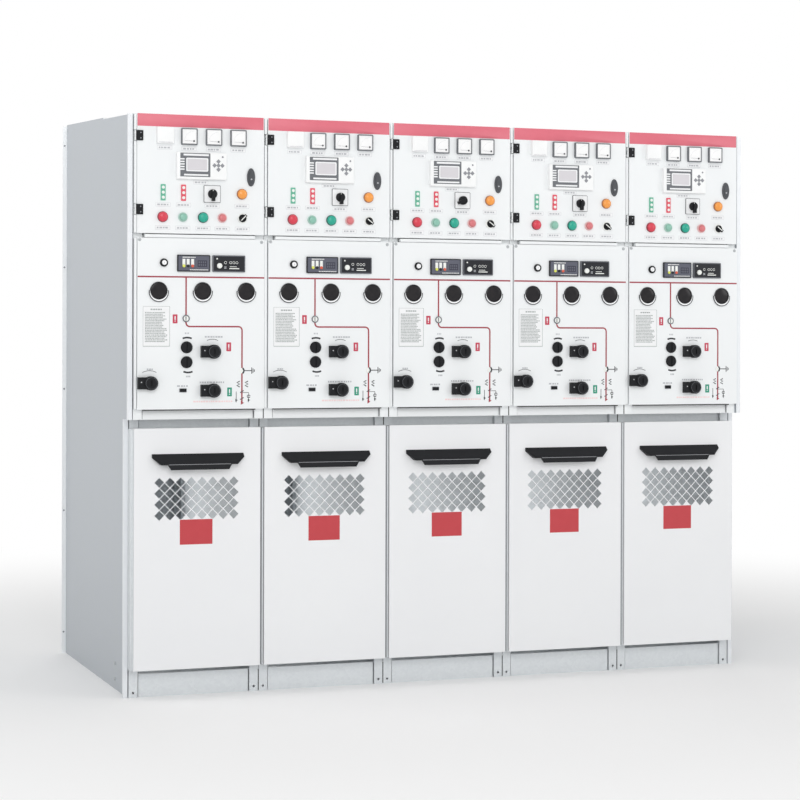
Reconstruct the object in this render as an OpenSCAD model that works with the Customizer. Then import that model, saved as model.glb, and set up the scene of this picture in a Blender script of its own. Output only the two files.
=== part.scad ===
// Line-up of five ring main unit cabinets, bolted side by side: an instrument box
// on top, the switch mechanism panel in the middle and a cable compartment below.
// Heights are from the floor; the fronts face -Y and the line-up runs along X.

/* [Line-up] */
// Width of one cabinet
bay_w = 500; // [480:1:560]
// Depth from the face of the lower posts to the back of the rear covers
frame_d = 1195; // [1000:5:1400]
// How much the roof rises from front to back
roof_rise = 65; // [0:5:120]
// How much higher the rear roof lies than the instrument box roof
roof_step = 6; // [3:1:15]
// Gap between the two roofs
roof_gap = 1; // [0.5:0.5:5]
// Thickness of folded sheet
sheet = 2; // [1.5:0.5:3]
// Depth of the folded rear covers
cover_d = 20; // [15:1:30]
// Distance of a rear cover from the side of its cabinet
cover_side = 4; // [2:1:8]
// Gap between the lower and the upper rear cover
cover_gap = 4; // [2:1:10]
// Width of the folded edges of the end panels
end_t = 20; // [15:1:40]
// Width of the groove between the end panel's strip and the side wall
groove_w = 2.5; // [2.5:0.5:8]
// Depth of that groove
groove_d = 12; // [8:1:30]
// How far the end panel's strip stands in front of the upper posts
strip_step = 8; // [0:1:20]
// How far the side walls sit behind the faces of the posts
wall_set = 15; // [3:1:20]

/* [Posts and base] */
// Width of a post's face
post_w = 34; // [30:1:40]
// Depth of a post
post_d = 40; // [35:1:60]
// Depth of a post's inner lip
post_lip = 14; // [10:1:20]
// Diameter of the bolt hole at the foot of a lower post
foot_hole_d = 9; // [6:1:14]
// Height of that hole
foot_hole_z = 18; // [10:1:60]
// Height of the plinth below the cable doors
plinth_h = 85; // [60:1:95]
// Width of the slot that a rail or plinth panel leaves beside each post
end_slot = 4; // [1:1:8]
// How far the plinth panels sit behind the posts
plinth_set = 6; // [3:1:12]
// Depth of the plinth panel's top fold
plinth_fold = 25; // [10:1:30]
// Width of the base angles' feet
foot_w = 90; // [80:1:110]
// Thickness of the base angles
foot_t = 4; // [3:0.5:6]
// Diameter of the anchor holes in the base angles
anchor_d = 14; // [10:1:20]
// Distance of the anchor holes from the side of a cabinet
anchor_x = 70; // [60:1:75]
// Distance of the anchor holes from the front and back posts
anchor_y = 60; // [40:1:120]
// Distance from the front posts to the cable entry
entry_y = 260; // [100:5:400]
// Depth of the cable entry left open in the floor
entry_d = 320; // [150:5:400]

/* [Upper section] */
// Height of the underside of the upper section
upper_z = 1032; // [1012:1:1060]
// How far the upper posts stand in front of the lower posts
upper_step = 58; // [50:1:80]
// Height of the rail that shows below the mechanism panel
rail_h = 38; // [24:1:50]
// How far the rails sit behind the face of the upper posts
rail_set = 8; // [4:1:20]
// How far the rails reach in behind the doors and panels
rail_lap = 8; // [4:1:14]
// Depth of a folded mechanism panel
panel_d = 22; // [18:1:30]
// Height from the mechanism panel's lower edge to the shelf
panel_h = 638; // [580:1:720]
// Distance from the panel's top edge up to the shelf
panel_drop = 6; // [3:1:10]
// Distance of the mechanism panel from the left side of the cabinet
panel_left = 12; // [8:1:16]
// Distance of the mechanism panel from the right side of the cabinet
panel_right = 3; // [2:1:8]
// Height of the instrument box, up to the front edge of its roof
box_h = 450; // [410:1:520]
// Depth of the instrument box, from the face of the upper posts
box_d = 513; // [350:1:700]

/* [Mechanism panel fittings] */
// Diameter of the half-round collar below a viewing window
collar_d = 75; // [64:1:90]
// How far the collar's centre lies below the window's
collar_drop = 4; // [0:0.5:8]
// Diameter of the windows' dark lenses
lens_d = 62; // [40:1:62]
// Wall of the tube round a lens
tube_wall = 2; // [1.5:0.5:4]
// How far the tube and its collar stand out
bezel_out = 4; // [2:0.5:8]
// Diameter of the operating knobs
knob_d = 44; // [30:1:50]
// Height of the operating knobs
knob_out = 9; // [6:0.5:20]
// Diameter of the interlocks
lock_d = 52; // [40:1:60]
// Height of the interlocks
lock_out = 27; // [15:1:28]
// Width of the lock body beside an interlock, from the centre
lock_body_w = 48; // [35:1:48]
// Height of that lock body
lock_body_h = 44; // [30:1:52]
// Diameter of the operating shafts
shaft_d = 14; // [8:1:18]
// Width of a display module
display_w = 125; // [80:1:130]
// Height of a display module
display_h = 62; // [40:1:70]
// How far the display modules stand out
display_out = 8; // [4:1:15]
// Diameter of the panel's key lock
key_d = 30; // [20:1:34]
// Diameter of the position indicator
indicator_d = 28; // [18:1:34]
// Width of the operations counter
counter_w = 25; // [15:1:40]
// Height of the operations counter
counter_h = 12; // [8:1:20]

/* [Instrument doors] */
// Gap between the shelf and the door
door_gap = 11; // [5:1:16]
// Depth of the door's folded edge
door_d = 16; // [12:1:17]
// Width of the door's inner lip
door_lip = 10; // [6:1:20]
// Distance of the door's hinge edge from the side of the cabinet
door_left = 10; // [10:1:14]
// Distance of the door's free edge from the side of the cabinet
door_right = 6; // [5:1:12]
// Distance of the hinge axis from the side of the cabinet
hinge_x = 5; // [5:0.5:5.5]
// Height of a hinge
hinge_h = 38; // [30:1:60]
// Width of the hinge leaf on the door
hinge_leaf = 17; // [10:1:25]
// Radius of a hinge knuckle
knuckle_r = 4; // [3.5:0.25:4.25]
// Diameter of a hinge pin
pin_d = 5; // [4:0.25:6]
// Running clearance in the hinges
hinge_clear = 0.3; // [0.2:0.05:0.5]

/* [Instrument door fittings] */
// Clearance round what passes through a cut-out
cut_gap = 1; // [0.5:0.25:2]
// How far the instruments reach in behind the door
body_in = 56; // [30:1:60]
// How much smaller an instrument's body is than its front
body_step = 12; // [8:1:16]
// Width of a meter
meter_w = 63; // [48:1:72]
// How far a meter stands out
meter_out = 12; // [6:1:20]
// Width of a meter's bezel
meter_bezel = 4; // [2:0.5:8]
// Width of the humidity controller
controller_w = 64; // [40:1:72]
// How far the controller stands out
controller_out = 20; // [10:1:28]
// Width of the protection relay
relay_w = 190; // [150:1:200]
// Height of the protection relay
relay_h = 100; // [80:1:108]
// How far the relay stands out
relay_out = 18; // [8:1:26]
// How far the relay's keys rise from its face
key_rise = 1.5; // [0.5:0.5:3]
// Width of the transfer switch's plate
plate_w = 64; // [48:1:70]
// Thickness of that plate
plate_t = 3; // [2:0.5:6]
// Diameter of the transfer switch's knob
switch_d = 34; // [24:1:40]
// How far the transfer switch stands out
switch_out = 30; // [28:1:40]
// Diameter of a push button's or lamp's bezel
button_d = 34; // [26:1:36]
// Diameter of the cut-out for a push button
button_hole_d = 22; // [16:0.5:24]
// How far a push button stands out
button_out = 16; // [8:1:24]
// Width of an indicator strip
strip_w = 23; // [14:1:30]
// Height of an indicator strip
strip_h = 60; // [40:1:72]
// Height of the door lock's plate
latch_h = 68; // [40:1:90]
// Width of the door lock's plate
latch_w = 30; // [18:1:34]

/* [Cable doors] */
// How far the cable doors stand in front of the lower posts
cable_door_y = 49; // [46:1:60]
// Depth of the cable door's folded edge
cable_door_d = 41; // [30:1:41]
// Width of the cable door's inner lip
cable_door_lip = 15; // [8:1:30]
// Gap between the plinth and the cable door
cable_door_low = 20; // [8:1:30]
// Height of the cable door
cable_door_h = 894; // [830:1:896]
// Distance of the cable door from each side of the cabinet
cable_door_x = 8; // [6:0.5:15]
// Width of each of the door's two hooks
hook_w = 40; // [20:1:80]
// Length of the door's hooks
hook_h = 20; // [15:1:22]
// Height of the lip that the hooks hang on
hook_lip_h = 34; // [30:1:50]
// Clearance between the hooks and their lip
hook_clear = 0.3; // [0.2:0.05:0.6]
// Gap between the door's back and that lip
hook_gap = 5; // [5:1:8]
// Gap between the hooks and the web of the rail behind them
web_gap = 10; // [6:1:20]
// Columns of diamonds in the grille
grille_cols = 8; // [4:1:9]
// Rows of diamonds in the grille
grille_rows = 4; // [2:1:6]
// Spacing of the diamonds
grille_pitch = 40.7; // [40:0.1:48]
// Width of a diamond from corner to corner
diamond_w = 37; // [20:0.5:38]
// Distance from the door's top edge to the middle of the grille
grille_drop = 262; // [200:1:400]
// Distance of the grille's middle to the left of the door's middle
grille_left = 4; // [0:0.5:8]

/* [Grip] */
// Distance from the door's top edge to the grip
grip_drop = 95; // [40:1:110]
// Width of the grip along the door
grip_w = 350; // [250:1:420]
// Width of the grip along its front edge
grip_front_w = 290; // [200:1:340]
// Height of the hood at its ends
grip_end_h = 14; // [6:1:24]
// How far the hood stands out at the lower corners of its ends
grip_end_out = 15; // [4:1:24]
// Height of the grip's hood
grip_h = 40; // [30:1:60]
// How far the hood stands out of the door
grip_out = 34; // [24:1:40]
// Width of the lip under the hood
grip_lip_w = 244; // [150:1:280]
// Height of the lip under the hood
grip_lip_h = 18; // [10:1:30]
// How far the lip runs in at each end and forwards
grip_lip_taper = 11; // [0:1:20]
// Wall of the grip
grip_wall = 3; // [2:0.5:5]

/* [Hidden] */
bays = 5;
$fn = 48;
eps = 0.01;
seat_gap = 0.3;
wall_clear = sheet / 2;

// planes from front to back, with the face of the lower posts at zero
upper_y = -upper_step;
panel_y = upper_y - panel_d;
box_back = upper_y + box_d;
cover_y = frame_d - cover_d;
rear_post_y = cover_y - post_d;
y_mid = (panel_y - switch_out + frame_d) / 2;

// heights
panel_z = upper_z + rail_h;
panel_top = panel_z + panel_h - panel_drop;
shelf_z = panel_z + panel_h;
front_h = shelf_z + box_h;
door_z = shelf_z + door_gap;
door_h = front_h - door_z;
cable_door_z = plinth_h + cable_door_low;
cable_door_top = cable_door_z + cable_door_h;

function roof_z(y) = front_h + roof_rise * (y - upper_y) / (frame_d - upper_y);
function bay_x(i) = (i - bays / 2) * bay_w;
// places on the fronts, as shares of the cabinet's width and of the piece's height
function across(share) = bay_w * share;
function up_panel(share) = panel_z + panel_h * share;
function up_door(share) = door_z + door_h * share;
function numbered(name) = [for (i = [1:bays]) str(name, "_", i)];

// puts the middle of the line-up's depth at the origin
module place() { translate([0, -y_mid, 0]) children(); }
module in_bay(i) { translate([bay_x(i), 0, 0]) children(); }
module each_bay() { for (i = [0:bays - 1]) in_bay(i) children(); }
// repeats a thing drawn at the left side of a cabinet at its right side
module both_sides() { children(); translate([bay_w, 0, 0]) mirror([1, 0, 0]) children(); }
// box from its lowest to its highest corner
module block(low, high) { translate(low) cube(high - low); }
// turns an outline drawn in Y and Z into a slab along X
module along_x(length) { rotate([90, 0, 90]) linear_extrude(length) children(); }
// draws on the front plane of the doors and panels, outwards along its own Z
module on_face(x, z) { translate([x, panel_y, z]) rotate([90, 0, 0]) children(); }
module rounded_outline(w, h, r) {
    square([w - 2 * r, h], center = true);
    square([w, h - 2 * r], center = true);
    for (x = [-1, 1], y = [-1, 1]) translate([x * (w / 2 - r), y * (h / 2 - r)]) circle(r);
}
module plate(w, h, low, high, r = 2) {
    translate([0, 0, low]) linear_extrude(high - low) rounded_outline(w, h, r);
}
module stem(w, h) { translate([-w / 2, -h / 2, -body_in]) cube([w, h, body_in]); }
// folded sheet, open at the back, with a lip turned in along its edges
module tray(low, high, lip) {
    wall = [sheet, sheet, sheet];
    difference() {
        block(low, high);
        block(low + wall, high - wall);
        block(low + wall + [lip, 0, lip], [high[0] - sheet - lip, high[1] + eps, high[2] - sheet - lip]);
    }
}

// Plan of a folded post: face, side flange, inner lip and back lip
module post_plan() {
    translate([wall_clear, 0]) {
        square([post_w, sheet]);
        square([sheet, post_d]);
        translate([post_w - sheet, 0]) square([sheet, post_lip]);
        translate([0, post_d - sheet]) square([post_lip, sheet]);
    }
}

module lower_posts() {
    color("silver") each_bay() both_sides() difference() {
        linear_extrude(upper_z) post_plan();
        translate([wall_clear + post_w / 2, -eps, foot_hole_z]) rotate([-90, 0, 0])
            cylinder(d = foot_hole_d, h = sheet + 2 * eps);
    }
}

module upper_posts() {
    color("white") each_bay() both_sides()
        translate([0, upper_y, upper_z]) linear_extrude(front_h - upper_z) post_plan();
}

module rear_posts() {
    color("silver") each_bay() both_sides()
        translate([0, cover_y, 0]) mirror([0, 1, 0])
            linear_extrude(roof_z(rear_post_y) - seat_gap) post_plan();
}

module wall_at(i) { translate([bay_x(i) - sheet / 2, 0, 0]) along_x(sheet) children(); }

module lower_side_walls() {
    color("silver") for (i = [0:bays]) wall_at(i)
        translate([wall_set, 0]) square([cover_y - wall_set, upper_z]);
}

module upper_wall_outline(from_y) {
    polygon([[from_y, upper_z], [cover_y, upper_z],
             [cover_y, roof_z(cover_y) + roof_step], [box_back, roof_z(box_back) + roof_step],
             [box_back, roof_z(box_back)], [from_y, roof_z(from_y)]]);
}

module upper_side_walls() {
    color("white") for (i = [0:bays]) wall_at(i) upper_wall_outline(upper_y + wall_set);
}

// Plan of the end panel, drawn for the left end: the strip that shows from the
// front with its outer return, the groove beside the posts, and the sheet itself
module end_panel_plan(face_y) {
    wall = -wall_clear;
    strip = wall - end_t;
    translate([strip, face_y]) square([end_t - groove_w, sheet]);
    translate([strip, face_y]) square([sheet, groove_d]);
    translate([wall - groove_w - sheet, face_y]) square([sheet, groove_d]);
    translate([wall - groove_w - sheet, face_y + groove_d - sheet]) square([groove_w + sheet, sheet]);
    translate([wall - sheet, face_y + groove_d - sheet]) square([sheet, cover_y - face_y - groove_d + sheet]);
}

module end_panel() {
    strip_y = upper_y - strip_step;
    linear_extrude(upper_z) end_panel_plan(0);
    intersection() {
        translate([0, 0, upper_z]) linear_extrude(front_h + roof_rise) end_panel_plan(strip_y);
        translate([-end_t - sheet, 0, 0]) along_x(end_t + 2 * sheet) upper_wall_outline(strip_y);
    }
    // rear edge, folded outwards
    block([-wall_clear - end_t, cover_y - sheet, 0], [-wall_clear, cover_y, roof_z(cover_y)]);
}

module left_end_panel() { color("gainsboro") in_bay(0) end_panel(); }
module right_end_panel() { color("gainsboro") in_bay(bays) mirror([1, 0, 0]) end_panel(); }

// Angles on the floor along both sides of each cabinet, with anchor holes
module base_angles() {
    color("silver") each_bay() both_sides() difference() {
        union() {
            block([wall_clear, post_d, 0], [wall_clear + foot_t, rear_post_y, plinth_h]);
            block([wall_clear, post_d, 0], [foot_w, rear_post_y, foot_t]);
        }
        for (y = [post_d + anchor_y, rear_post_y - anchor_y])
            translate([anchor_x, y, -eps]) cylinder(d = anchor_d, h = foot_t + 2 * eps);
    }
}

post_inner = wall_clear + post_w;
slot_inner = post_inner + end_slot;

// Folded plinth panels between the front posts and between the rear posts
module plinth_panels() {
    color("silver") each_bay() for (back = [0, 1])
        translate([0, back ? cover_y - plinth_set : plinth_set, 0]) mirror([0, back, 0]) {
            block([slot_inner, 0, 0], [bay_w - slot_inner, sheet, plinth_h]);
            block([post_inner, sheet, plinth_h - sheet], [bay_w - post_inner, plinth_fold, plinth_h]);
        }
}

module floor_plate(from_y, to_y) {
    block([wall_clear, from_y, plinth_h], [bay_w - wall_clear, to_y, plinth_h + sheet]);
}
module front_floor_plates() { color("silver") each_bay() floor_plate(post_d, post_d + entry_y); }
module rear_floor_plates() {
    color("silver") each_bay() floor_plate(post_d + entry_y + entry_d, rear_post_y);
}

// Rail above the cable door: a web between the posts, and the upturned lip that
// the door's hooks hang on
hook_seat_z = cable_door_top - sheet;
door_back_y = cable_door_d - cable_door_y;
lip_y = door_back_y + hook_gap;
hook_y = lip_y + sheet + hook_clear;
module door_head_rails() {
    low = hook_seat_z - hook_lip_h;
    web_y = hook_y + sheet + web_gap;
    color("silver") each_bay() {
        block([slot_inner, web_y, low], [bay_w - slot_inner, web_y + sheet, upper_z]);
        block([post_inner, lip_y, low], [bay_w - post_inner, web_y + sheet, low + sheet]);
        block([post_inner, lip_y, low], [bay_w - post_inner, lip_y + sheet, hook_seat_z - hook_clear]);
    }
}

module bottom_rails() {
    face_y = upper_y + rail_set;
    color("white") each_bay() {
        block([slot_inner, face_y, upper_z], [bay_w - slot_inner, face_y + sheet, panel_z + rail_lap]);
        block([post_inner, face_y + sheet, upper_z],
              [bay_w - post_inner, upper_y + post_d, upper_z + sheet]);
    }
}

// Closed housings of the encapsulated switches and, above and behind, the busbars
module switch_housings() {
    color("lightgray") each_bay()
        block([wall_clear, upper_y + post_d, upper_z + sheet], [bay_w - wall_clear, rear_post_y, shelf_z]);
}

module busbar_housings() {
    color("lightgray") each_bay() translate([wall_clear, 0, 0]) along_x(bay_w - 2 * wall_clear)
        polygon([[box_back, shelf_z], [rear_post_y, shelf_z], [rear_post_y, roof_z(rear_post_y) - seat_gap],
                 [box_back, roof_z(box_back) - seat_gap]]);
}

// Shelf under the instrument box, with a rail along its front that shows between
// the door and the mechanism panel
module instrument_shelves() {
    face_y = upper_y + rail_set;
    color("white") each_bay() {
        block([wall_clear, upper_y + post_d, shelf_z], [bay_w - wall_clear, box_back, shelf_z + sheet]);
        block([post_inner, face_y, shelf_z], [bay_w - post_inner, upper_y + post_d, shelf_z + sheet]);
        block([slot_inner, face_y, panel_top - rail_lap],
              [bay_w - slot_inner, face_y + sheet, door_z + rail_lap]);
    }
}

module roof_sheets() {
    front_end = box_back - roof_gap;
    color("white") each_bay() translate([wall_clear, 0, 0]) along_x(bay_w - 2 * wall_clear) {
        polygon([[upper_y, roof_z(upper_y)], [front_end, roof_z(front_end)],
                 [front_end, roof_z(front_end) + sheet], [upper_y, roof_z(upper_y) + sheet]]);
        polygon([[box_back, roof_z(box_back)], [cover_y, roof_z(cover_y)],
                 [cover_y, roof_z(cover_y) + roof_step], [box_back, roof_z(box_back) + roof_step]]);
    }
}

module rear_covers() {
    top = roof_z(cover_y);
    color("silver") each_bay()
        for (z = [[plinth_h, upper_z - cover_gap / 2], [upper_z + cover_gap / 2, top]])
            translate([0, frame_d, 0]) mirror([0, 1, 0])
                tray([cover_side, 0, z[0]], [bay_w - cover_side, cover_d, z[1]], post_lip);
}

// Layout of the mechanism panel
window_at = [for (share = [0.184, 0.517, 0.852]) [across(share), up_panel(0.6857)]];
knob_at = [for (share = [0.3589, 0.2727]) [across(0.395), up_panel(share)]];
lock_at = [[across(0.597), up_panel(0.3339)], [across(0.597), up_panel(0.1075)],
           [panel_left + lock_body_w + seat_gap, up_panel(0.152)]];
display_at = [for (share = [0.446, 0.715]) [across(share), up_panel(0.8464)]];
tube_d = lens_d + 2 * tube_wall;

module mechanism_panels() {
    color("white") each_bay() difference() {
        tray([panel_left, panel_y, panel_z], [bay_w - panel_right, upper_y, panel_top], post_lip);
        for (p = window_at) on_face(p[0], p[1])
            translate([0, 0, -sheet - eps]) cylinder(d = tube_d + 2 * seat_gap, h = sheet + 2 * eps);
        for (p = concat(knob_at, lock_at)) on_face(p[0], p[1])
            translate([0, 0, -sheet - eps]) cylinder(d = shaft_d + 2 * cut_gap, h = sheet + 2 * eps);
    }
}

// Tube that holds a window's lens, with a half-round collar on the panel below it
module window_bezels() {
    tube_back = -bezel_out - sheet;
    color("white") each_bay() for (p = window_at) on_face(p[0], p[1]) difference() {
        union() {
            translate([0, 0, tube_back]) cylinder(d = tube_d, h = bezel_out - tube_back);
            intersection() {
                translate([0, -collar_drop, 0]) cylinder(d = collar_d, h = bezel_out);
                translate([-collar_d / 2, -collar_d, 0]) cube([collar_d, collar_d, bezel_out]);
            }
        }
        translate([0, 0, tube_back - eps]) cylinder(d = lens_d, h = bezel_out - tube_back + 2 * eps);
    }
}

module window_lenses() {
    color("black") each_bay() for (p = window_at) on_face(p[0], p[1])
        translate([0, 0, -bezel_out - sheet])
            cylinder(d = lens_d - 2 * seat_gap, h = sheet + 2 * bezel_out - 1);
}

module shaft() { translate([0, 0, -shaft_d]) cylinder(d = shaft_d, h = shaft_d); }

// Round knob with a screwdriver slot
module slotted_knob() {
    slot = knob_d / 8;
    shaft();
    difference() {
        rotate_extrude() polygon([[0, 0], [knob_d / 2, 0], [knob_d / 2, knob_out * 0.6],
                                  [knob_d / 2 - 2, knob_out], [0, knob_out]]);
        translate([-slot / 2, -knob_d / 2, knob_out * 0.6]) cube([slot, knob_d, knob_out]);
    }
}

// Key interlock: a round boss with a keyway, and a lock body at its left
module interlock() {
    key = lock_d / 10;
    shaft();
    difference() {
        union() {
            rotate_extrude() polygon([[0, 0], [lock_d / 2, 0], [lock_d / 2, lock_out * 0.8],
                                      [lock_d / 2 - 4, lock_out], [0, lock_out]]);
            translate([-lock_body_w, -lock_body_h / 2, 0]) cube([lock_body_w, lock_body_h, lock_out * 0.7]);
        }
        translate([-key / 2, -key * 2, lock_out - key]) cube([key, key * 4, key + eps]);
    }
}

module operating_knobs() {
    color("dimgray") each_bay() {
        for (p = knob_at) on_face(p[0], p[1]) slotted_knob();
        for (p = lock_at) on_face(p[0], p[1]) interlock();
    }
}

// Two display modules, the key lock, the position indicator and the counter
module display_modules() {
    color("darkslategray") each_bay() {
        for (p = display_at) on_face(p[0], p[1]) difference() {
            plate(display_w, display_h, 0, display_out);
            plate(display_w - 10, display_h - 10, display_out - 1, display_out + eps);
        }
        on_face(across(0.222), up_panel(0.848)) difference() {
            cylinder(d = key_d, h = display_out);
            translate([0, 0, display_out - 2]) cylinder(d = key_d * 0.6, h = display_out);
        }
        on_face(across(0.39), up_panel(0.5259)) cylinder(d = indicator_d, h = display_out / 2);
        on_face(across(0.369), up_panel(0.1097)) plate(counter_w, counter_h, 0, display_out / 2, 1);
    }
}

// Hinges of the instrument doors: the fixed knuckles with their pin
hinge_at = [up_door(0.8153), up_door(0.1982)];
hinge_third = hinge_h / 3;
module hinge_brackets() {
    color("dimgray") each_bay() for (z = hinge_at) translate([hinge_x, panel_y, z - hinge_h / 2]) {
        cylinder(d = pin_d, h = hinge_h);
        for (h = [0, hinge_h - hinge_third]) translate([0, 0, h]) {
            cylinder(r = knuckle_r, h = hinge_third);
            block([-knuckle_r * 0.75, 0, 0], [knuckle_r * 0.75, panel_d, hinge_third]);
        }
    }
}

// Leaf of a hinge on the door with its knuckle, from the middle of the hinge
module hinge_leaf() {
    half = hinge_third / 2 - hinge_clear;
    difference() {
        union() {
            translate([hinge_x, panel_y, -half]) cylinder(r = knuckle_r, h = 2 * half);
            block([hinge_x, panel_y - knuckle_r, -half], [door_left + sheet, panel_y, half]);
            block([door_left, panel_y - knuckle_r, -hinge_h / 2],
                  [door_left + hinge_leaf, panel_y, hinge_h / 2]);
        }
        translate([hinge_x, panel_y, -hinge_h]) cylinder(d = pin_d + 2 * hinge_clear, h = 2 * hinge_h);
    }
}

// Layout of the instrument door
meter_at = [for (share = [0.41, 0.598, 0.786]) [across(share), up_door(0.8178)]];
controller_at = [across(0.226), up_door(0.8223)];
relay_at = [across(0.5), up_door(0.5717)];
strip_at = [for (share = [0.215, 0.369]) [across(share), up_door(0.3441)]];
switch_at = [across(0.587), up_door(0.3393)];
button_at = concat([for (share = [0.212, 0.364, 0.518, 0.664]) [across(share), up_door(0.1389)]],
                   [[across(0.816), up_door(0.3441)]]);
selector_at = [across(0.82), up_door(0.1389)];
latch_at = [across(0.886), up_door(0.4898)];

// Cut-outs of the instrument door, drawn on its face
module door_cut(w, h) { translate([-w / 2, -h / 2, -sheet - eps]) cube([w, h, sheet + 2 * eps]); }
module door_bore(d) { translate([0, 0, -sheet - eps]) cylinder(d = d, h = sheet + 2 * eps); }
meter_body_w = meter_w - body_step;
relay_body = [relay_w - 2 * body_step, relay_h - body_step];
controller_body_w = controller_w - body_step;

module instrument_door(i) {
    color("white") in_bay(i) {
        difference() {
            tray([door_left, panel_y, door_z], [bay_w - door_right, panel_y + door_d, front_h], door_lip);
            for (p = meter_at) on_face(p[0], p[1])
                door_cut(meter_body_w + 2 * cut_gap, meter_body_w + 2 * cut_gap);
            on_face(controller_at[0], controller_at[1])
                door_cut(controller_body_w + 2 * cut_gap, controller_body_w + 2 * cut_gap);
            on_face(relay_at[0], relay_at[1])
                door_cut(relay_body[0] + 2 * cut_gap, relay_body[1] + 2 * cut_gap);
            for (p = concat(button_at, [selector_at, switch_at, latch_at])) on_face(p[0], p[1])
                door_bore(button_hole_d + 2 * cut_gap);
        }
        for (z = hinge_at) translate([0, 0, z]) hinge_leaf();
    }
}

module meter() {
    stem(meter_body_w, meter_body_w);
    difference() {
        plate(meter_w, meter_w, 0, meter_out);
        plate(meter_w - 2 * meter_bezel, meter_w - 2 * meter_bezel, meter_out - 2, meter_out + eps, 1);
    }
}

module controller() {
    stem(controller_body_w, controller_body_w);
    plate(controller_w, controller_w - 3, 0, controller_out, 4);
}

// Protection relay: display in a recess at the left, keys at the right
module relay() {
    key_r = relay_h / 18;
    stem(relay_body[0], relay_body[1]);
    difference() {
        plate(relay_w, relay_h, 0, relay_out, 4);
        translate([-relay_w * 0.13, 0, 0])
            plate(relay_w * 0.6, relay_h * 0.86, relay_out - key_rise, relay_out + eps);
    }
    translate([relay_w * 0.35, 0, relay_out]) {
        cylinder(r = key_r, h = key_rise);
        for (a = [0:90:270]) rotate(a) translate([key_r * 2.2, 0, 0]) cylinder(r = key_r, h = key_rise);
    }
}

// Lamps and push buttons share their bezel and their body behind the door
module button() {
    r = button_d / 2;
    rotate_extrude() polygon([[0, -body_in * 0.8], [button_hole_d / 2, -body_in * 0.8],
        [button_hole_d / 2, 0], [r, 0], [r, button_out * 0.25], [r - 2, button_out * 0.4],
        [r - 3, button_out * 0.4], [r - 3, button_out * 0.85], [r - 4, button_out], [0, button_out]]);
}

// Selector: a button's bezel with a bar handle across it
module selector() {
    r = button_d / 2;
    rotate_extrude() polygon([[0, -body_in * 0.8], [button_hole_d / 2, -body_in * 0.8],
        [button_hole_d / 2, 0], [r, 0], [r, button_out * 0.3], [r - 3, button_out * 0.6],
        [0, button_out * 0.6]]);
    rotate(-45) translate([0, 0, button_out * 0.6]) plate(r * 0.6, r * 1.5, 0, button_out * 0.5, 1);
}

// Transfer switch: square plate, round knob and its lever pointing down
module transfer_switch() {
    lever_w = switch_d / 3;
    translate([0, 0, -body_in]) cylinder(d = button_hole_d, h = body_in);
    plate(plate_w, plate_w, 0, plate_t, 3);
    translate([0, 0, plate_t]) cylinder(d = switch_d, h = switch_out * 0.55 - plate_t);
    translate([-lever_w / 2, -plate_w / 2 + 3, switch_out * 0.4])
        cube([lever_w, plate_w / 2 - 3 + switch_d / 2, switch_out * 0.6]);
}

// Strip of three lamps
module indicator_strip() {
    plate(strip_w, strip_h, 0, 3, 2);
    for (k = [-1:1]) translate([0, k * strip_h * 0.31, 3]) cylinder(d = strip_w * 0.65, h = 3);
}

// Door lock: an almond-shaped plate on its barrel
module latch() {
    half = latch_h / 2;
    inset = latch_w / 2;
    r = (half * half + inset * inset) / (2 * inset);
    translate([0, 0, -body_in / 2]) cylinder(d = button_hole_d, h = body_in / 2);
    intersection_for (side = [-1, 1]) translate([side * (r - inset), 0, 0]) cylinder(r = r, h = 9);
}

module door_fittings(i) {
    color("gray") in_bay(i) {
        for (p = meter_at) on_face(p[0], p[1]) meter();
        on_face(controller_at[0], controller_at[1]) controller();
        on_face(relay_at[0], relay_at[1]) relay();
        for (p = button_at) on_face(p[0], p[1]) button();
        on_face(selector_at[0], selector_at[1]) selector();
        on_face(switch_at[0], switch_at[1]) transfer_switch();
        for (p = strip_at) on_face(p[0], p[1]) indicator_strip();
        on_face(latch_at[0], latch_at[1]) latch();
    }
}

// Grille of the cable door: rows of diamonds, every second one a column shorter
module diamond() {
    r = diamond_w / 2;
    translate([0, sheet - cable_door_y + eps, 0]) rotate([90, 0, 0])
        linear_extrude(sheet + 2 * eps) polygon([[r, 0], [0, r], [-r, 0], [0, -r]]);
}

module grille() {
    for (row = [0:2 * grille_rows - 2]) {
        cols = grille_cols - row % 2;
        z = cable_door_top - grille_drop + (row - grille_rows + 1) * grille_pitch / 2;
        for (col = [0:cols - 1])
            translate([bay_w / 2 - grille_left + (col - (cols - 1) / 2) * grille_pitch, 0, z]) diamond();
    }
}

module cable_door(i) {
    face = -cable_door_y;
    color("whitesmoke") in_bay(i) {
        difference() {
            tray([cable_door_x, face, cable_door_z], [bay_w - cable_door_x, door_back_y, cable_door_top],
                 cable_door_lip);
            grille();
        }
        for (x = [bay_w / 4, bay_w * 3 / 4]) {
            block([x - hook_w / 2, door_back_y - sheet, hook_seat_z],
                  [x + hook_w / 2, hook_y + sheet, cable_door_top]);
            block([x - hook_w / 2, hook_y, hook_seat_z - hook_h],
                  [x + hook_w / 2, hook_y + sheet, cable_door_top]);
        }
    }
}

// Outer form of the grip's hood, made smaller on all sides by inset; it slopes
// out of the door to its front edge and is mitred at both ends
module hood(inset) {
    slab = 1;
    top = cable_door_top - grip_drop;
    low = top - grip_h;
    hull() {
        translate([inset - grip_w / 2, -slab, top - grip_end_h])
            cube([grip_w - 2 * inset, slab, grip_end_h - inset]);
        translate([inset - grip_w / 2, inset - grip_end_out, top - grip_end_h])
            cube([grip_w - 2 * inset, slab, slab]);
        translate([inset - grip_front_w / 2, -slab, low]) cube([grip_front_w - 2 * inset, slab, slab]);
        translate([inset - grip_front_w / 2, inset - grip_out, low])
            cube([grip_front_w - 2 * inset, slab, grip_h / 4 - inset / 2]);
    }
}

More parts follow.
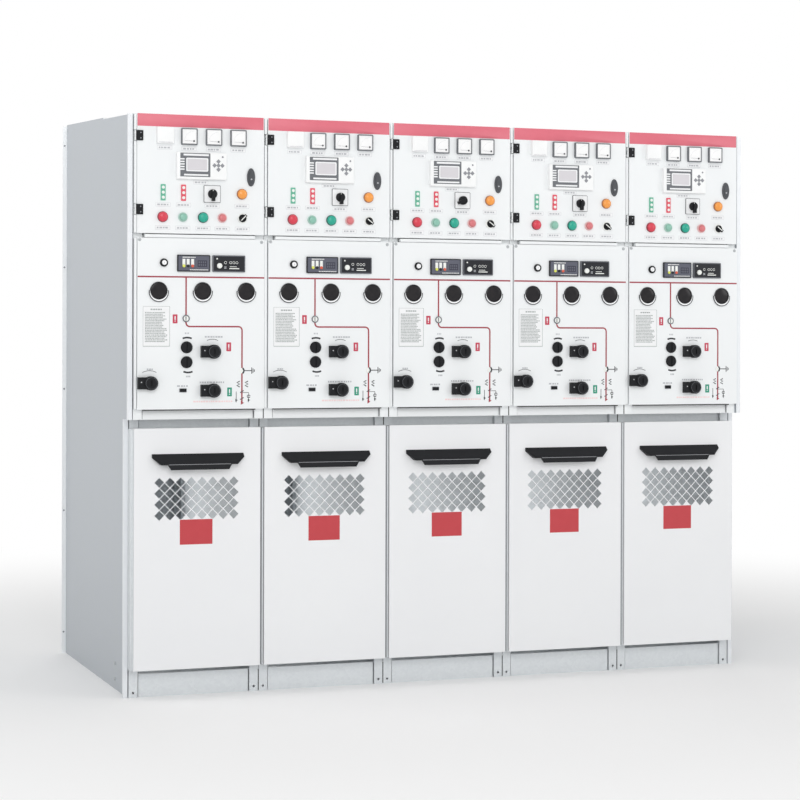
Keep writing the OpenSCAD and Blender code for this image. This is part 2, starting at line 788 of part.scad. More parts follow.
// Lip that hangs from the hood's front edge, running in at its ends
module grip_lip() {
    low = cable_door_top - grip_drop - grip_h;
    lean = grip_lip_taper / 3;
    hull() {
        translate([-grip_lip_w / 2, -grip_out, low]) cube([grip_lip_w, grip_wall, grip_wall]);
        translate([grip_lip_taper - grip_lip_w / 2, -grip_out - lean, low - grip_lip_h])
            cube([grip_lip_w - 2 * grip_lip_taper, grip_wall, grip_wall]);
    }
}

module cable_door_grip(i) {
    color("black") in_bay(i) translate([bay_w / 2, -cable_door_y, 0]) {
        difference() {
            hood(0);
            translate([0, 0, -eps]) hood(grip_wall);
        }
        grip_lip();
    }
}

place() lower_posts();
place() upper_posts();
place() rear_posts();
place() lower_side_walls();
place() upper_side_walls();
place() left_end_panel();
place() right_end_panel();
place() base_angles();
place() plinth_panels();
place() front_floor_plates();
place() rear_floor_plates();
place() door_head_rails();
place() bottom_rails();
place() switch_housings();
place() busbar_housings();
place() instrument_shelves();
place() mechanism_panels();
place() window_bezels();
place() window_lenses();
place() operating_knobs();
place() display_modules();
place() roof_sheets();
place() rear_covers();
place() hinge_brackets();
for (i = [0:bays - 1]) {
    place() instrument_door(i);
    place() door_fittings(i);
    place() cable_door(i);
    place() cable_door_grip(i);
}
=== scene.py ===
import bpy
import numpy as np
from mathutils import Matrix, Vector


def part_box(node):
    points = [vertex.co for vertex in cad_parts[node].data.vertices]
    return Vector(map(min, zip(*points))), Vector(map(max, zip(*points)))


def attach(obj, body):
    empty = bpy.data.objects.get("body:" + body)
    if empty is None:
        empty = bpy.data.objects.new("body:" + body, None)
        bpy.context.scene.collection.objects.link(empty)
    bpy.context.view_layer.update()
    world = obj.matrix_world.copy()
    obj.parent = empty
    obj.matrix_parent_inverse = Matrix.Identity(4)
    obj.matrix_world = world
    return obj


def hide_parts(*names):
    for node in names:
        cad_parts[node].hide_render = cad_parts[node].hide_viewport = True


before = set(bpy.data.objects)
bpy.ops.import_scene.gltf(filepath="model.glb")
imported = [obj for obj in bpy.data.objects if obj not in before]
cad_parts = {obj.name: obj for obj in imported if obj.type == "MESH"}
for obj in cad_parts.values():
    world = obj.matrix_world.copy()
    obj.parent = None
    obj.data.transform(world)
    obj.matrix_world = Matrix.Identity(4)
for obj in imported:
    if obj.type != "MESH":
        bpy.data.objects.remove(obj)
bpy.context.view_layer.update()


# ---- The line-up ---------------------------------------------------------------
# Five cabinets of one width stand side by side, bolted together. Their pitch, the
# plane of their fronts and the heights of their sections are read off the frame.

mm = 0.001
sheet = 2 * mm
cabinets = sum(name.startswith("cable_door_grip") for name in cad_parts)
walls_low, walls_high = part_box("lower_side_walls")
cabinet_w = (walls_high.x - walls_low.x - sheet) / cabinets
panel_low, panel_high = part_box("mechanism_panels")
face_y = panel_low.y
door_low, door_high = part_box("instrument_door_1")
cable_door_low, cable_door_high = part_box("cable_door_1")


def cabinet_x(number):
    """Left side of a cabinet, counted from 0."""
    return walls_low.x + sheet / 2 + number * cabinet_w


# ---- Camera --------------------------------------------------------------------
# A long lens at chest height, a little to the left of the line-up, held level and
# shifted down.

camera_data = bpy.data.cameras.new("camera")
camera = bpy.data.objects.new("camera", camera_data)
bpy.context.scene.collection.objects.link(camera)
bpy.context.scene.camera = camera
camera_data.sensor_width = 36
camera_data.lens = 95
camera_data.shift_y = -0.08125
stand = Vector((-2.9887, -8.2244, 1.3531))
azimuth, elevation, roll = np.radians([20.0641, -0.0472, 0.1511])
ahead = Vector((np.sin(azimuth) * np.cos(elevation), np.cos(azimuth) * np.cos(elevation), np.sin(elevation)))
right = Vector((np.cos(azimuth), -np.sin(azimuth), 0))
up = right.cross(ahead)
turned_right = right * np.cos(roll) + up * np.sin(roll)
turned_up = up * np.cos(roll) - right * np.sin(roll)
camera.matrix_world = Matrix((
    (turned_right.x, turned_up.x, -ahead.x, stand.x),
    (turned_right.y, turned_up.y, -ahead.y, stand.y),
    (turned_right.z, turned_up.z, -ahead.z, stand.z),
    (0, 0, 0, 1),
))


# ---- Node finishes -------------------------------------------------------------
# Every finish is one Principled shader with the nodes that vary it over the piece.


def tint(red, green, blue):
    """The linear colour of a shade written from 0 to 255."""
    share = np.array([red, green, blue]) / 255
    linear = np.where(share > 0.04045, ((share + 0.055) / 1.055) ** 2.4, share / 12.92)
    return (*linear, 1)


class Wire:
    """A node's output that can be used in sums with numbers and with other wires."""

    def __init__(self, finish, socket):
        self.finish = finish
        self.socket = socket

    def sum(self, operation, first, second=0):
        return self.finish.node("Math", {"operation": operation}, {0: first, 1: second})

    def __add__(self, other):
        return self.sum("ADD", self, other)

    def __sub__(self, other):
        return self.sum("SUBTRACT", self, other)

    def __mul__(self, other):
        return self.sum("MULTIPLY", self, other)

    def __gt__(self, other):
        return self.sum("GREATER_THAN", self, other)

    def __lt__(self, other):
        return self.sum("LESS_THAN", self, other)

    def __mod__(self, other):
        return self.sum("FLOORED_MODULO", self, other)

    def __abs__(self):
        return self.sum("ABSOLUTE", self)

    __radd__ = __add__


class Finish:
    """A material: its constants are set on the shader, and wires feed what varies."""

    def __init__(self, name, **constants):
        self.material = bpy.data.materials.new(name)
        self.material.use_nodes = True
        self.tree = self.material.node_tree
        self.shader = self.tree.nodes["Principled BSDF"]
        for socket, value in constants.items():
            self.feed(self.shader, socket.replace("_", " "), value)

    def feed(self, node, socket, value):
        if isinstance(value, Wire):
            self.tree.links.new(value.socket, node.inputs[socket])
        else:
            node.inputs[socket].default_value = value

    def node(self, kind, settings=None, inputs=None, output=0):
        """Adds a node, sets it up and returns a wire from one of its outputs."""
        node = self.tree.nodes.new("ShaderNode" + kind)
        for key, value in (settings or {}).items():
            setattr(node, key, value)
        for socket, value in (inputs or {}).items():
            self.feed(node, socket, value)
        return Wire(self, node.outputs[output])

    def place(self):
        """Where a point lies in the line-up, in metres."""
        return self.node("TexCoord", output="Object")

    def axes(self):
        """The same as three numbers, x, y and z."""
        place = self.place()
        return [self.node("SeparateXYZ", {}, {0: place}, output) for output in "XYZ"]

    def noise(self, size, detail=2):
        """Soft noise from 0 to 1 with lumps of about this size."""
        inputs = {"Vector": self.place(), "Scale": 1 / size, "Detail": detail}
        return self.node("TexNoise", {}, inputs, "Fac")

    def mixed(self, share, first, second):
        """The first colour where the share is 0, the second where it is 1."""
        inputs = {"Factor": share, 6: first, 7: second}
        return self.node("Mix", {"data_type": "RGBA"}, inputs, 2)

    def wear(self, colour=None, roughness=None, height=None, depth=0.1 * mm):
        """Feeds the shader: a colour, a roughness and a relief of the given depth."""
        if colour is not None:
            self.feed(self.shader, "Base Color", colour)
        if roughness is not None:
            self.feed(self.shader, "Roughness", roughness)
        if height is not None:
            relief = {"Height": height, "Distance": depth, "Strength": 1.0}
            self.feed(self.shader, "Normal", self.node("Bump", {}, relief))
        return self


def coat(finish, *nodes):
    """Gives CAD nodes their finish."""
    for name in nodes:
        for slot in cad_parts[name].material_slots:
            slot.material = finish.material


def numbered(name):
    return [f"{name}_{number + 1}" for number in range(cabinets)]


# ---- Zinc-coated frame ---------------------------------------------------------
# Posts, plinth, floor and inner walls are folded from aluminium-zinc coated steel.
# Its crystals show as small facets of slightly different brightness.


def zinc_sheet(name, dark, light, crystal=9 * mm):
    finish = Finish(name, Metallic=0.25, Specular_IOR_Level=0.4)
    cells = finish.node(
        "TexVoronoi", {}, {"Vector": finish.place(), "Scale": 1 / crystal, "Randomness": 1.0}, "Color"
    )
    grey = finish.node("SeparateColor", {}, {0: cells})
    cloud = finish.noise(180 * mm, 3)
    colour = finish.mixed(grey * 0.65 + cloud * 0.35, tint(*dark), tint(*light))
    return finish.wear(colour, 0.38 + grey * 0.14 + cloud * 0.06, grey, 0.015 * mm)


zinc = zinc_sheet("zinc sheet", (214, 218, 221), (223, 227, 229))
coat(zinc, "lower_posts", "rear_posts", "lower_side_walls", "base_angles", "plinth_panels",
     "front_floor_plates", "rear_floor_plates", "door_head_rails", "rear_covers")


# ---- End panels ----------------------------------------------------------------
# A pale grey sheet closes each end of the line-up, screwed to the posts, with a
# narrow folded strip in front and at the back. The strips are lighter than the sheet,
# and the rear one is painted lighter than the front one: painted light and shade.

end_sheet = zinc_sheet("end sheet", (186, 191, 198), (195, 200, 203), 14 * mm)
x, y, _ = end_sheet.axes()
on_fold = abs(x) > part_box("right_end_panel")[0].x + 2.5 * mm
grey = Wire(end_sheet, end_sheet.shader.inputs["Base Color"].links[0].from_socket)
# Painted light and shade: the rear fold gets a lighter white than the front fold, for how the light falls on
# the two.
fold_coat_with_painted_light = end_sheet.mixed(y > 0, tint(229, 232, 235), tint(246, 248, 249))
end_sheet.wear(end_sheet.mixed(on_fold, grey, fold_coat_with_painted_light))
coat(end_sheet, "left_end_panel", "right_end_panel")


# ---- Painted sheet -------------------------------------------------------------
# Doors, panels, upper posts and roof are powder coated in a cold white with the
# fine orange peel that such a coat keeps. The cable doors are a shade greyer, which
# is painted shade for the less light that falls on them low down.


def powder_coat(name, dark, light):
    finish = Finish(name, Specular_IOR_Level=0.35)
    colour = finish.mixed(finish.noise(400 * mm, 3), tint(*dark), tint(*light))
    peel = finish.noise(1.6 * mm, 2)
    return finish.wear(colour, 0.36 + finish.noise(60 * mm) * 0.08, peel, 0.03 * mm)


white_coat = powder_coat("white powder coat", (236, 239, 240), (242, 244, 245))
coat(white_coat, "upper_posts", "upper_side_walls", "bottom_rails", "instrument_shelves",
     "mechanism_panels", "roof_sheets")
# Painted shade: the same white coat made a little greyer, for the lower doors that take less light.
cable_door_painted_shade_coat = powder_coat("cable door coat with painted shade", (235, 236, 238), (241, 242, 243))
coat(cable_door_painted_shade_coat, *numbered("cable_door"))
housing_coat = powder_coat("housing coat", (150, 154, 158), (160, 164, 168))
coat(housing_coat, "switch_housings", "busbar_housings")


# ---- Instrument doors ----------------------------------------------------------
# Folded doors in the same white. Their hinge leaves, which stand in front of the
# sheet or beside its left edge, are black.

hinged = powder_coat("instrument door coat", (236, 239, 240), (242, 244, 245))
x, y, _ = hinged.axes()
from_left = (x - cabinet_x(0)) % cabinet_w
on_leaf = (y < face_y - 0.5 * mm) * (from_left > 5 * mm)
white = hinged.mixed(hinged.noise(400 * mm, 3), tint(236, 239, 240), tint(242, 244, 245))
hinged.wear(hinged.mixed(on_leaf, white, tint(46, 47, 50)))
coat(hinged, *numbered("instrument_door"))

coat(white_coat, "hinge_brackets")


# ---- Name bands ----------------------------------------------------------------
# A red foil along the top edge of each instrument door. It stays bare.


def carried(rings):
    """Skin over rings[k, n] of points. A quad joins each pair of neighbours on one
    ring to the next ring, and a flat face closes each end."""
    count, steps = rings.shape[:2]
    k, n = np.meshgrid(np.arange(count - 1), np.arange(steps), indexing="ij")
    near = k * steps + n
    side = k * steps + (n + 1) % steps
    quads = np.stack([near, side, side + steps, near + steps], axis=-1).reshape(-1, 4)
    back = np.arange(steps)[::-1]
    front = np.arange(steps) + (count - 1) * steps
    return rings.reshape(-1, 3), [*quads.tolist(), back.tolist(), front.tolist()]


def lifted(across, upwards, out):
    """Skin over rings of points, each ring at its own distance out."""
    return carried(np.stack([across, upwards, np.broadcast_to(out, across.shape)], axis=-1))


def plate(w, h, r, profile, x=0, z=0, steps=4):
    """Rounded rectangle carried outwards. Its corners are quarter circles about
    centres that stay put while profile, a list of (inset, out), shrinks it."""
    quarter = np.linspace(0, np.pi / 2, steps + 1)
    angle = (quarter + np.pi / 2 * np.arange(4)[:, None]).ravel()
    side_x = np.repeat([1, -1, -1, 1], steps + 1)
    side_z = np.repeat([1, 1, -1, -1], steps + 1)
    inset, out = np.array(profile, float).T[:, :, None]
    radius = np.maximum(r - inset, 0.05 * mm)
    across = side_x * (w / 2 - inset - radius) + radius * np.cos(angle) + x
    upwards = side_z * (h / 2 - inset - radius) + radius * np.sin(angle) + z
    return lifted(across, upwards, out)


def turned(profile, x=0, z=0, steps=40):
    """Profile, a list of (radius, out), turned about the axis that points outwards."""
    angle = np.linspace(0, 2 * np.pi, steps, endpoint=False)
    radius, out = np.array(profile, float).T[:, :, None]
    across = radius * np.cos(angle) + x
    upwards = radius * np.sin(angle) + z
    return lifted(across, upwards, out)


def make_piece(name, parts, body, plane_y=face_y, replaced=()):
    """One mesh from parts, a list of (points, faces, finish). A point is (across,
    upwards, out), and out is measured from the plane towards the viewer."""
    mesh = bpy.data.meshes.new(name)
    finishes = list(dict.fromkeys(finish for _, _, finish in parts))
    starts = np.cumsum([0] + [len(points) for points, _, _ in parts])
    points = np.concatenate([points for points, _, _ in parts])
    faces = [[start + n for n in face] for start, part in zip(starts, parts) for face in part[1]]
    mesh.from_pydata(points[:, [0, 2, 1]] * (1, -1, 1) + (0, plane_y, 0), [], faces)
    numbers = [finishes.index(finish) for _, part_faces, finish in parts for _ in part_faces]
    mesh.polygons.foreach_set("material_index", numbers)
    for finish in finishes:
        mesh.materials.append(finish.material)
    mesh.polygons.foreach_set("use_smooth", [True] * len(faces))
    mesh.set_sharp_from_angle(angle=np.radians(35))
    piece = bpy.data.objects.new(name, mesh)
    bpy.context.scene.collection.objects.link(piece)
    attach(piece, body)
    if replaced:
        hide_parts(*replaced)
    return piece


def shifted(parts, number):
    """The parts as they lie on the cabinet of this number, counted from 0."""
    return [(points + (cabinet_x(number), 0, 0), faces, finish) for points, faces, finish in parts]


def on_door(number, name, parts, slot, door="instrument_door", plane_y=face_y, replaced=None):
    """A piece on the door of one cabinet, riding on that door."""
    nodes = [f"{replaced}_{number + 1}"] if replaced else ()
    make_piece(f"{name}_{number + 1}", shifted(parts, number), f"{door}_{number + 1}", plane_y, nodes)


def on_each_door(*piece, **options):
    """The same piece on the door of every cabinet."""
    for number in range(cabinets):
        on_door(number, *piece, **options)


def in_mm(*pairs):
    """Pairs of numbers written in millimetres."""
    return np.array(pairs) * mm


def add(parts, shape, finish):
    """Adds a shape, its points and faces, in one finish to a piece's parts."""
    parts.append((*shape, finish))


def foil(name, shade, roughness=0.4):
    """Printed or painted film, a little uneven in colour."""
    finish = Finish(name, Specular_IOR_Level=0.45)
    shade = np.array(shade)
    colour = finish.mixed(finish.noise(30 * mm), tint(*(shade - 3)), tint(*(shade + 3)))
    return finish.wear(colour, roughness)


red_foil = foil("red foil", (219, 111, 126), 0.38)
band_h = 46 * mm
band_left = 11 * mm
band_w = cabinet_w - band_left - 8 * mm
band = plate(band_w, band_h, 0.5 * mm, in_mm((0, 0), (0, 0.25), (0.2, 0.35)),
             band_left + band_w / 2, door_high.z - band_h / 2)
on_each_door("name_band", [(*band, red_foil)], "white_paint")


# ---- Door lettering plates -----------------------------------------------------
# Under each instrument sits a small engraved plate. Its writing is left generic:
# a row of plain blocks.


def across(share):
    """A distance from the cabinet's left side, as a share of its width."""
    return cabinet_w * share


def up_door(share):
    """A height on the instrument door, as a share of the door's own."""
    return door_low.z + (door_high.z - door_low.z) * share


def bars(x, z, w, h, low, high):
    """Flat boxes: arrays of centres and sizes, from out = low to out = high."""
    x, z, w, h = np.broadcast_arrays(*map(np.atleast_1d, (x, z, w, h)))
    corner = np.array([(-1, -1), (1, -1), (1, 1), (-1, 1)]) / 2
    flat = np.stack([x[:, None] + corner[:, 0] * w[:, None], z[:, None] + corner[:, 1] * h[:, None]], axis=-1)
    points = np.concatenate([np.insert(flat, 2, low, axis=2), np.insert(flat, 2, high, axis=2)], axis=1)
    box = np.array([(3, 2, 1, 0), (4, 5, 6, 7), (0, 1, 5, 4), (1, 2, 6, 5), (2, 3, 7, 6), (3, 0, 4, 7)])
    faces = (box + 8 * np.arange(len(x))[:, None, None]).reshape(-1, 4)
    return points.reshape(-1, 3), faces.tolist()


def writing(x, z, w, rows, row_h, out, seed):
    """Rows of plain blocks of uneven width, centred on x, downwards from z."""
    chance = np.random.default_rng(seed)
    blocks = []
    for row in range(rows):
        widths = chance.uniform(0.7, 1.6, max(3, int(w / row_h / 1.5))) * row_h
        gaps = chance.uniform(0.25, 0.5, len(widths)) * row_h
        ends = np.cumsum(widths + gaps)
        scale = w / ends[-1] * (1 if rows < 3 else chance.uniform(0.75, 1))
        centres = (ends - gaps - widths / 2) * scale - w / 2 + x
        blocks += [(centre, z - row * 1.55 * row_h, width * scale) for centre, width in zip(centres, widths)]
    blocks = np.array(blocks)
    return bars(blocks[:, 0], blocks[:, 1], blocks[:, 2], row_h, out, out + 0.05 * mm)


label_white = foil("label white", (240, 241, 242))
label_edge = foil("label edge", (218, 220, 223))
print_grey = foil("print grey", (186, 188, 192))
meter_at = [(across(share), up_door(0.8178)) for share in (0.41, 0.598, 0.786)]
controller_at = (across(0.226), up_door(0.8223))
relay_at = (across(0.5), up_door(0.5717))
strip_at = [(across(share), up_door(0.3441)) for share in (0.215, 0.369)]
switch_at = (across(0.587), up_door(0.3393))
button_row = up_door(0.1389)
button_x = [across(share) for share in (0.212, 0.364, 0.518, 0.664)]
alarm_at = (across(0.816), up_door(0.3441))
selector_at = (across(0.82), button_row)
latch_at = (across(0.886), up_door(0.4898))

label_w, label_h = 54 * mm, 13 * mm
border = 3 * mm
below_fitting, below_button, below_relay = 45 * mm, 40 * mm, 60 * mm
edge_rise = [(0, 0), (0, 0.2 * mm)]
label_rise = in_mm((0, 0), (0, 0.3), (0.2, 0.4))
label_parts = []
labelled = [(x, z - below_fitting) for x, z in [*meter_at, controller_at, *strip_at, switch_at, alarm_at]]
labelled += [(x, button_row - below_button) for x in [*button_x, selector_at[0]]]
labelled.append((relay_at[0], relay_at[1] - below_relay))
for count, (x, z) in enumerate(labelled):
    rim = plate(label_w + border, label_h + border, 2 * mm, edge_rise, x, z, 2)
    add(label_parts, rim, label_edge)
    add(label_parts, plate(label_w, label_h, 1 * mm, label_rise, x, z, 1), label_white)
    add(label_parts, writing(x, z, 44 * mm, 1, 6 * mm, 0.4 * mm, count), print_grey)
on_each_door("door_labels", label_parts, "white_plastic")


# ---- Humidity controller -------------------------------------------------------
# A white moulded box at the top left of the door. Its vents along the foot are grey
# marks of painted shade.

body_depth = 56 * mm
body_step = 12 * mm


def moulded(name, shade, roughness=0.42, spread=6, gloss=0.5):
    """Moulded plastic with a fine grain and a faint unevenness of colour."""
    finish = Finish(name, Specular_IOR_Level=gloss)
    shade = np.array(shade, float)
    cloud = finish.noise(25 * mm)
    low = np.maximum(shade - spread / 2, 0)
    colour = finish.mixed(cloud, tint(*low), tint(*(low + spread)))
    return finish.wear(colour, roughness + cloud * 0.06, finish.noise(0.5 * mm), 0.01 * mm)


white_plastic = moulded("white plastic", (243, 244, 244), 0.35)
black_plastic = moulded("black plastic", (25, 26, 29), 0.5, 8, 0.18)
grey_plastic = moulded("grey plastic", (104, 107, 112), 0.45)
controller_w = 64 * mm
controller_h = 61 * mm
controller_out = 20 * mm
x, z = controller_at
rounded_front = [(0, 0), (0, controller_out - 4 * mm), (0.6 * mm, controller_out - 1.6 * mm),
                 (2 * mm, controller_out - 0.4 * mm), (4 * mm, controller_out)]
body_back = [(0, -body_depth), (0, 0)]
# Painted shade: flat grey marks stand for the vent slits, for the shade inside them.
vent_shade_marks = bars(x + np.arange(-5, 6) * 4.6 * mm, z - controller_h / 2 + 4 * mm, 2 * mm, 4 * mm,
             controller_out - 3 * mm, controller_out + 0.02 * mm)
controller_parts = [
    (*plate(controller_w - body_step, controller_w - body_step, 2 * mm, body_back, x, z), grey_plastic),
    (*plate(controller_w, controller_h, 5 * mm, rounded_front, x, z), white_plastic),
    (*vent_shade_marks, print_grey),
]
on_each_door("humidity_controller", controller_parts, "white_plastic", replaced="door_fittings")


# ---- Meters --------------------------------------------------------------------
# Three square moving-coil meters: a thin dark bezel round a white dial, whose
# pointer turns about a dot in the lower right corner.


def ribbon(right, left, low, high):
    """A flat bar between two paths of (across, upwards), from out = low to high."""
    sides = [(right, low), (left, low), (left, high), (right, high)]
    return carried(np.stack([np.insert(side, 2, out, axis=1) for side, out in sides], axis=1))


def swept(path, width, low, high):
    """A flat bar along path[k]: its sides lie half the width to the left and right
    of the path's direction."""
    ahead = np.gradient(path, axis=0)
    ahead /= np.linalg.norm(ahead, axis=1)[:, None]
    left = ahead[:, ::-1] * (-1, 1) * width / 2
    return ribbon(path - left, path + left, low, high)


def arc(x, z, radius, start, stop, steps=24):
    """Points on a circle about (x, z), from one angle to the other in degrees."""
    angle = np.radians(np.linspace(start, stop, steps))
    return np.stack([x + radius * np.cos(angle), z + radius * np.sin(angle)], axis=1)


def stroke(x, z, degrees, start, stop):
    """The two points at these distances from (x, z), both in one direction."""
    angle = np.radians(degrees)
    return (x, z) + np.outer((start, stop), (np.cos(angle), np.sin(angle)))


meter_w = 63 * mm
meter_face_w = meter_w - 2 * mm
meter_out = 12 * mm
meter_rim = 3.6 * mm
dial_sweep = (92, 178)
dial_white = foil("dial white", (246, 246, 246), 0.3)
print_dark = foil("print dark", (74, 76, 80))
scale_grey = foil("scale grey", (214, 216, 219))
meter_parts = []
for x, z in meter_at:
    rim = [(0, 0), (0, meter_out - 1.5 * mm), (0.5 * mm, meter_out - 0.4 * mm), (1.2 * mm, meter_out),
           (meter_rim, meter_out), (meter_rim + 0.5 * mm, meter_out - 2 * mm)]
    dial_out = meter_out - 1.9 * mm
    dial_w = meter_face_w - 2 * meter_rim - 1 * mm
    back_w = meter_w - body_step
    add(meter_parts, plate(back_w, back_w, 2 * mm, body_back, x, z), black_plastic)
    add(meter_parts, plate(meter_face_w, meter_face_w, 3 * mm, rim, x, z), grey_plastic)
    dial = plate(dial_w, dial_w, 1 * mm, [(0, dial_out - 0.2 * mm), (0, dial_out)], x, z, 1)
    add(meter_parts, dial, dial_white)
    pivot = (x + 16.6 * mm, z - 16.6 * mm)
    scale = swept(arc(*pivot, 36 * mm, *dial_sweep), 0.5 * mm, dial_out, dial_out + 0.05 * mm)
    add(meter_parts, scale, scale_grey)
    for angle in np.linspace(*dial_sweep, 11):
        tick = stroke(*pivot, angle, 34.5 * mm, 37.5 * mm)
        add(meter_parts, swept(tick, 0.5 * mm, dial_out, dial_out + 0.05 * mm), scale_grey)
    needle = np.array([(pivot[0], pivot[1]), (pivot[0] - 34 * mm, pivot[1] + 1.2 * mm)])
    add(meter_parts, swept(needle, 0.6 * mm, dial_out + 0.4 * mm, dial_out + 0.7 * mm), print_dark)
    hub = [(3.5 * mm, dial_out), (3.5 * mm, dial_out + 1.2 * mm), (2.8 * mm, dial_out + 1.6 * mm)]
    add(meter_parts, turned(hub, *pivot, 20), print_dark)
on_each_door("meters", meter_parts, "white_plastic", replaced="door_fittings")


# ---- Protection relay ----------------------------------------------------------
# A wide white case with a display in a grey surround and a cross of soft keys.

relay_w = 190 * mm
relay_h = 100 * mm
relay_out = 18 * mm
display_grey = foil("display grey", (214, 211, 215), 0.2)
key_grey = moulded("key grey", (140, 142, 147), 0.5)
x, z = relay_at
case = [(0, 0), (0, relay_out - 3 * mm), (0.5 * mm, relay_out - 1 * mm), (1.4 * mm, relay_out - 0.2 * mm),
        (2.5 * mm, relay_out)]
relay_parts = [
    (*plate(relay_w - 2 * body_step, relay_h - body_step, 2 * mm, body_back, x, z), grey_plastic),
    (*plate(relay_w, relay_h, 4 * mm, case, x, z), white_plastic),
]


def on_relay(right, up, w, h, low, high, finish, r=1):
    """A thin raised plate on the relay's face, in millimetres from its middle."""
    rise = [(0, relay_out + low * mm), (0, relay_out + (high - 0.1) * mm), (0.1 * mm, relay_out + high * mm)]
    add(relay_parts, plate(w * mm, h * mm, r * mm, rise, x + right * mm, z + up * mm, 2), finish)


on_relay(-25, 3, 114, 88, -0.2, 0.4, grey_plastic)
on_relay(-22, 40, 96, 7, 0.3, 0.5, label_white)
on_relay(-22, -34, 92, 6, 0.3, 0.5, label_white)
on_relay(-18, 4, 84, 50, 0.3, 0.8, label_white, 4)
on_relay(-18, 4, 75, 41, 0.7, 0.9, display_grey, 1)
for row in range(5):
    on_relay(-74, 24 - 9.5 * row, 16, 5, 0.3, 0.5, label_white, 0.5)
for right, up in [(0, 0), (15, 0), (-15, 0), (0, 15), (0, -15)]:
    key = [(8.4 * mm, relay_out), (8.4 * mm, relay_out + 1 * mm), (7.2 * mm, relay_out + 1.5 * mm)]
    add(relay_parts, turned(key, x + (63 + right) * mm, z + (3 + up) * mm, 4), key_grey)
small_key = [(3.4 * mm, relay_out), (3.4 * mm, relay_out + 1 * mm), (2.6 * mm, relay_out + 1.4 * mm)]
add(relay_parts, turned(small_key, x + 79 * mm, z + 35 * mm, 16), key_grey)
on_each_door("protection_relay", relay_parts, "white_plastic", replaced="door_fittings")


# ---- Indicator strips ----------------------------------------------------------
# A green and a red strip, each with three round lamps that have pale middles.

green_plastic = moulded("green plastic", (104, 184, 156), 0.35)
red_plastic = moulded("red plastic", (226, 86, 104), 0.35)
lamp_white = moulded("lamp white", (238, 240, 236), 0.25)
strip_w = 23 * mm
strip_h = 60 * mm
strip_parts = []
for (x, z), shade in zip(strip_at, (green_plastic, red_plastic)):
    flat = in_mm((0, 0), (0, 2.5), (0.5, 3))
    add(strip_parts, plate(strip_w * 0.8, strip_h, 2 * mm, flat, x, z), shade)
    for step in (-1, 0, 1):
        ring = in_mm((8, 2.9), (8, 4.6), (7, 5), (6, 4.6))
        dome = in_mm((6, 4), (5.6, 5.2), (4, 6), (1.5, 6.3))
        lamp_z = z + step * strip_h * 0.31
        add(strip_parts, turned(ring, x, lamp_z, 24), shade)
        add(strip_parts, turned(dome, x, lamp_z, 24), lamp_white)
on_each_door("indicator_strips", strip_parts, "white_plastic", replaced="door_fittings")


# ---- Transfer switch -----------------------------------------------------------
# A square plate with a dark edge, a round black knob and its lever. It points
# down, and to the left on the middle cabinet.

def behind(x, z, share):
    """The round body of a fitting behind the door: a share of the meters' depth."""
    return (*turned([(11 * mm, -body_depth * share), (11 * mm, 0)], x, z, 24), grey_plastic)


plate_w = 64 * mm
plate_edge = 3.4 * mm
knob_r = 17 * mm
for number in range(cabinets):
    x, z = switch_at
    edge = in_mm((0, 0), (0, 2.4), (0.4, 2.9))
    inner = in_mm((0, 2.8), (0, 3.1), (0.2, 3.2))
    knob = [(knob_r, 3 * mm), (knob_r, 14 * mm), (knob_r - 1 * mm, 16 * mm), (knob_r - 3 * mm, 17 * mm)]
    heading = 205 if number == cabinets // 2 else 270
    lever = stroke(x, z, heading, -10 * mm, 27 * mm)
    mark = stroke(x, z, heading, -9 * mm, -15 * mm)
    switch_parts = [
        behind(x, z, 1),
        (*plate(plate_w, plate_w, 3 * mm, edge, x, z), print_dark),
        (*plate(plate_w - plate_edge, plate_w - plate_edge, 2 * mm, inner, x, z), label_white),
        (*turned(knob, x, z), black_plastic),
        (*swept(lever, 11 * mm, 12 * mm, 28 * mm), black_plastic),
        (*swept(mark, 2.4 * mm, 17 * mm, 17.3 * mm), lamp_white),
    ]
    on_door(number, "transfer_switch", switch_parts, "black_plastic", replaced="door_fittings")


# ---- Push buttons and lamps ----------------------------------------------------
# Red and green push buttons and an amber lamp with wide heads, and two smaller
# lamps in white collars. Each has its body behind the door.


button_depth = 0.8
button_r = 18.5 * mm
small_r = 17.5 * mm


def head(x, z, r, shade, rim):
    """A shallow dome on a short neck, in a darker rim."""
    angle = np.linspace(0, np.pi / 2, 8)[:-1]
    dome = [((r - 1 * mm) * np.cos(a), 9 * mm + 8 * mm * np.sin(a)) for a in angle]
    parts = [behind(x, z, button_depth)]
    ring = [(r + 1.5 * mm, 0), (r + 1.5 * mm, 4 * mm), (r + 0.6 * mm, 6 * mm), (r - 1 * mm, 6 * mm)]
    add(parts, turned(ring, x, z), rim)
    neck = [(r - 2 * mm, 0), (r - 2 * mm, 5 * mm), (r - 1 * mm, 6 * mm)]
    add(parts, turned([*neck, *dome], x, z), shade)
    return parts


def collared(x, z, r, shade, rim):
    """A lamp in a paler collar."""
    collar = [(r, 0), (r, 6 * mm), (r - 1.2 * mm, 8 * mm), (r - 3.6 * mm, 8 * mm), (r - 4.4 * mm, 6 * mm)]
    angle = np.linspace(0, np.pi / 2, 6)[:-1]
    lens_r = r - 4.4 * mm
    lens = [(lens_r * np.cos(a), 12 * mm + 4 * mm * np.sin(a)) for a in angle]
    parts = [behind(x, z, button_depth)]
    add(parts, turned(collar, x, z), rim)
    add(parts, turned([(lens_r, 2 * mm), *lens], x, z), shade)
    return parts


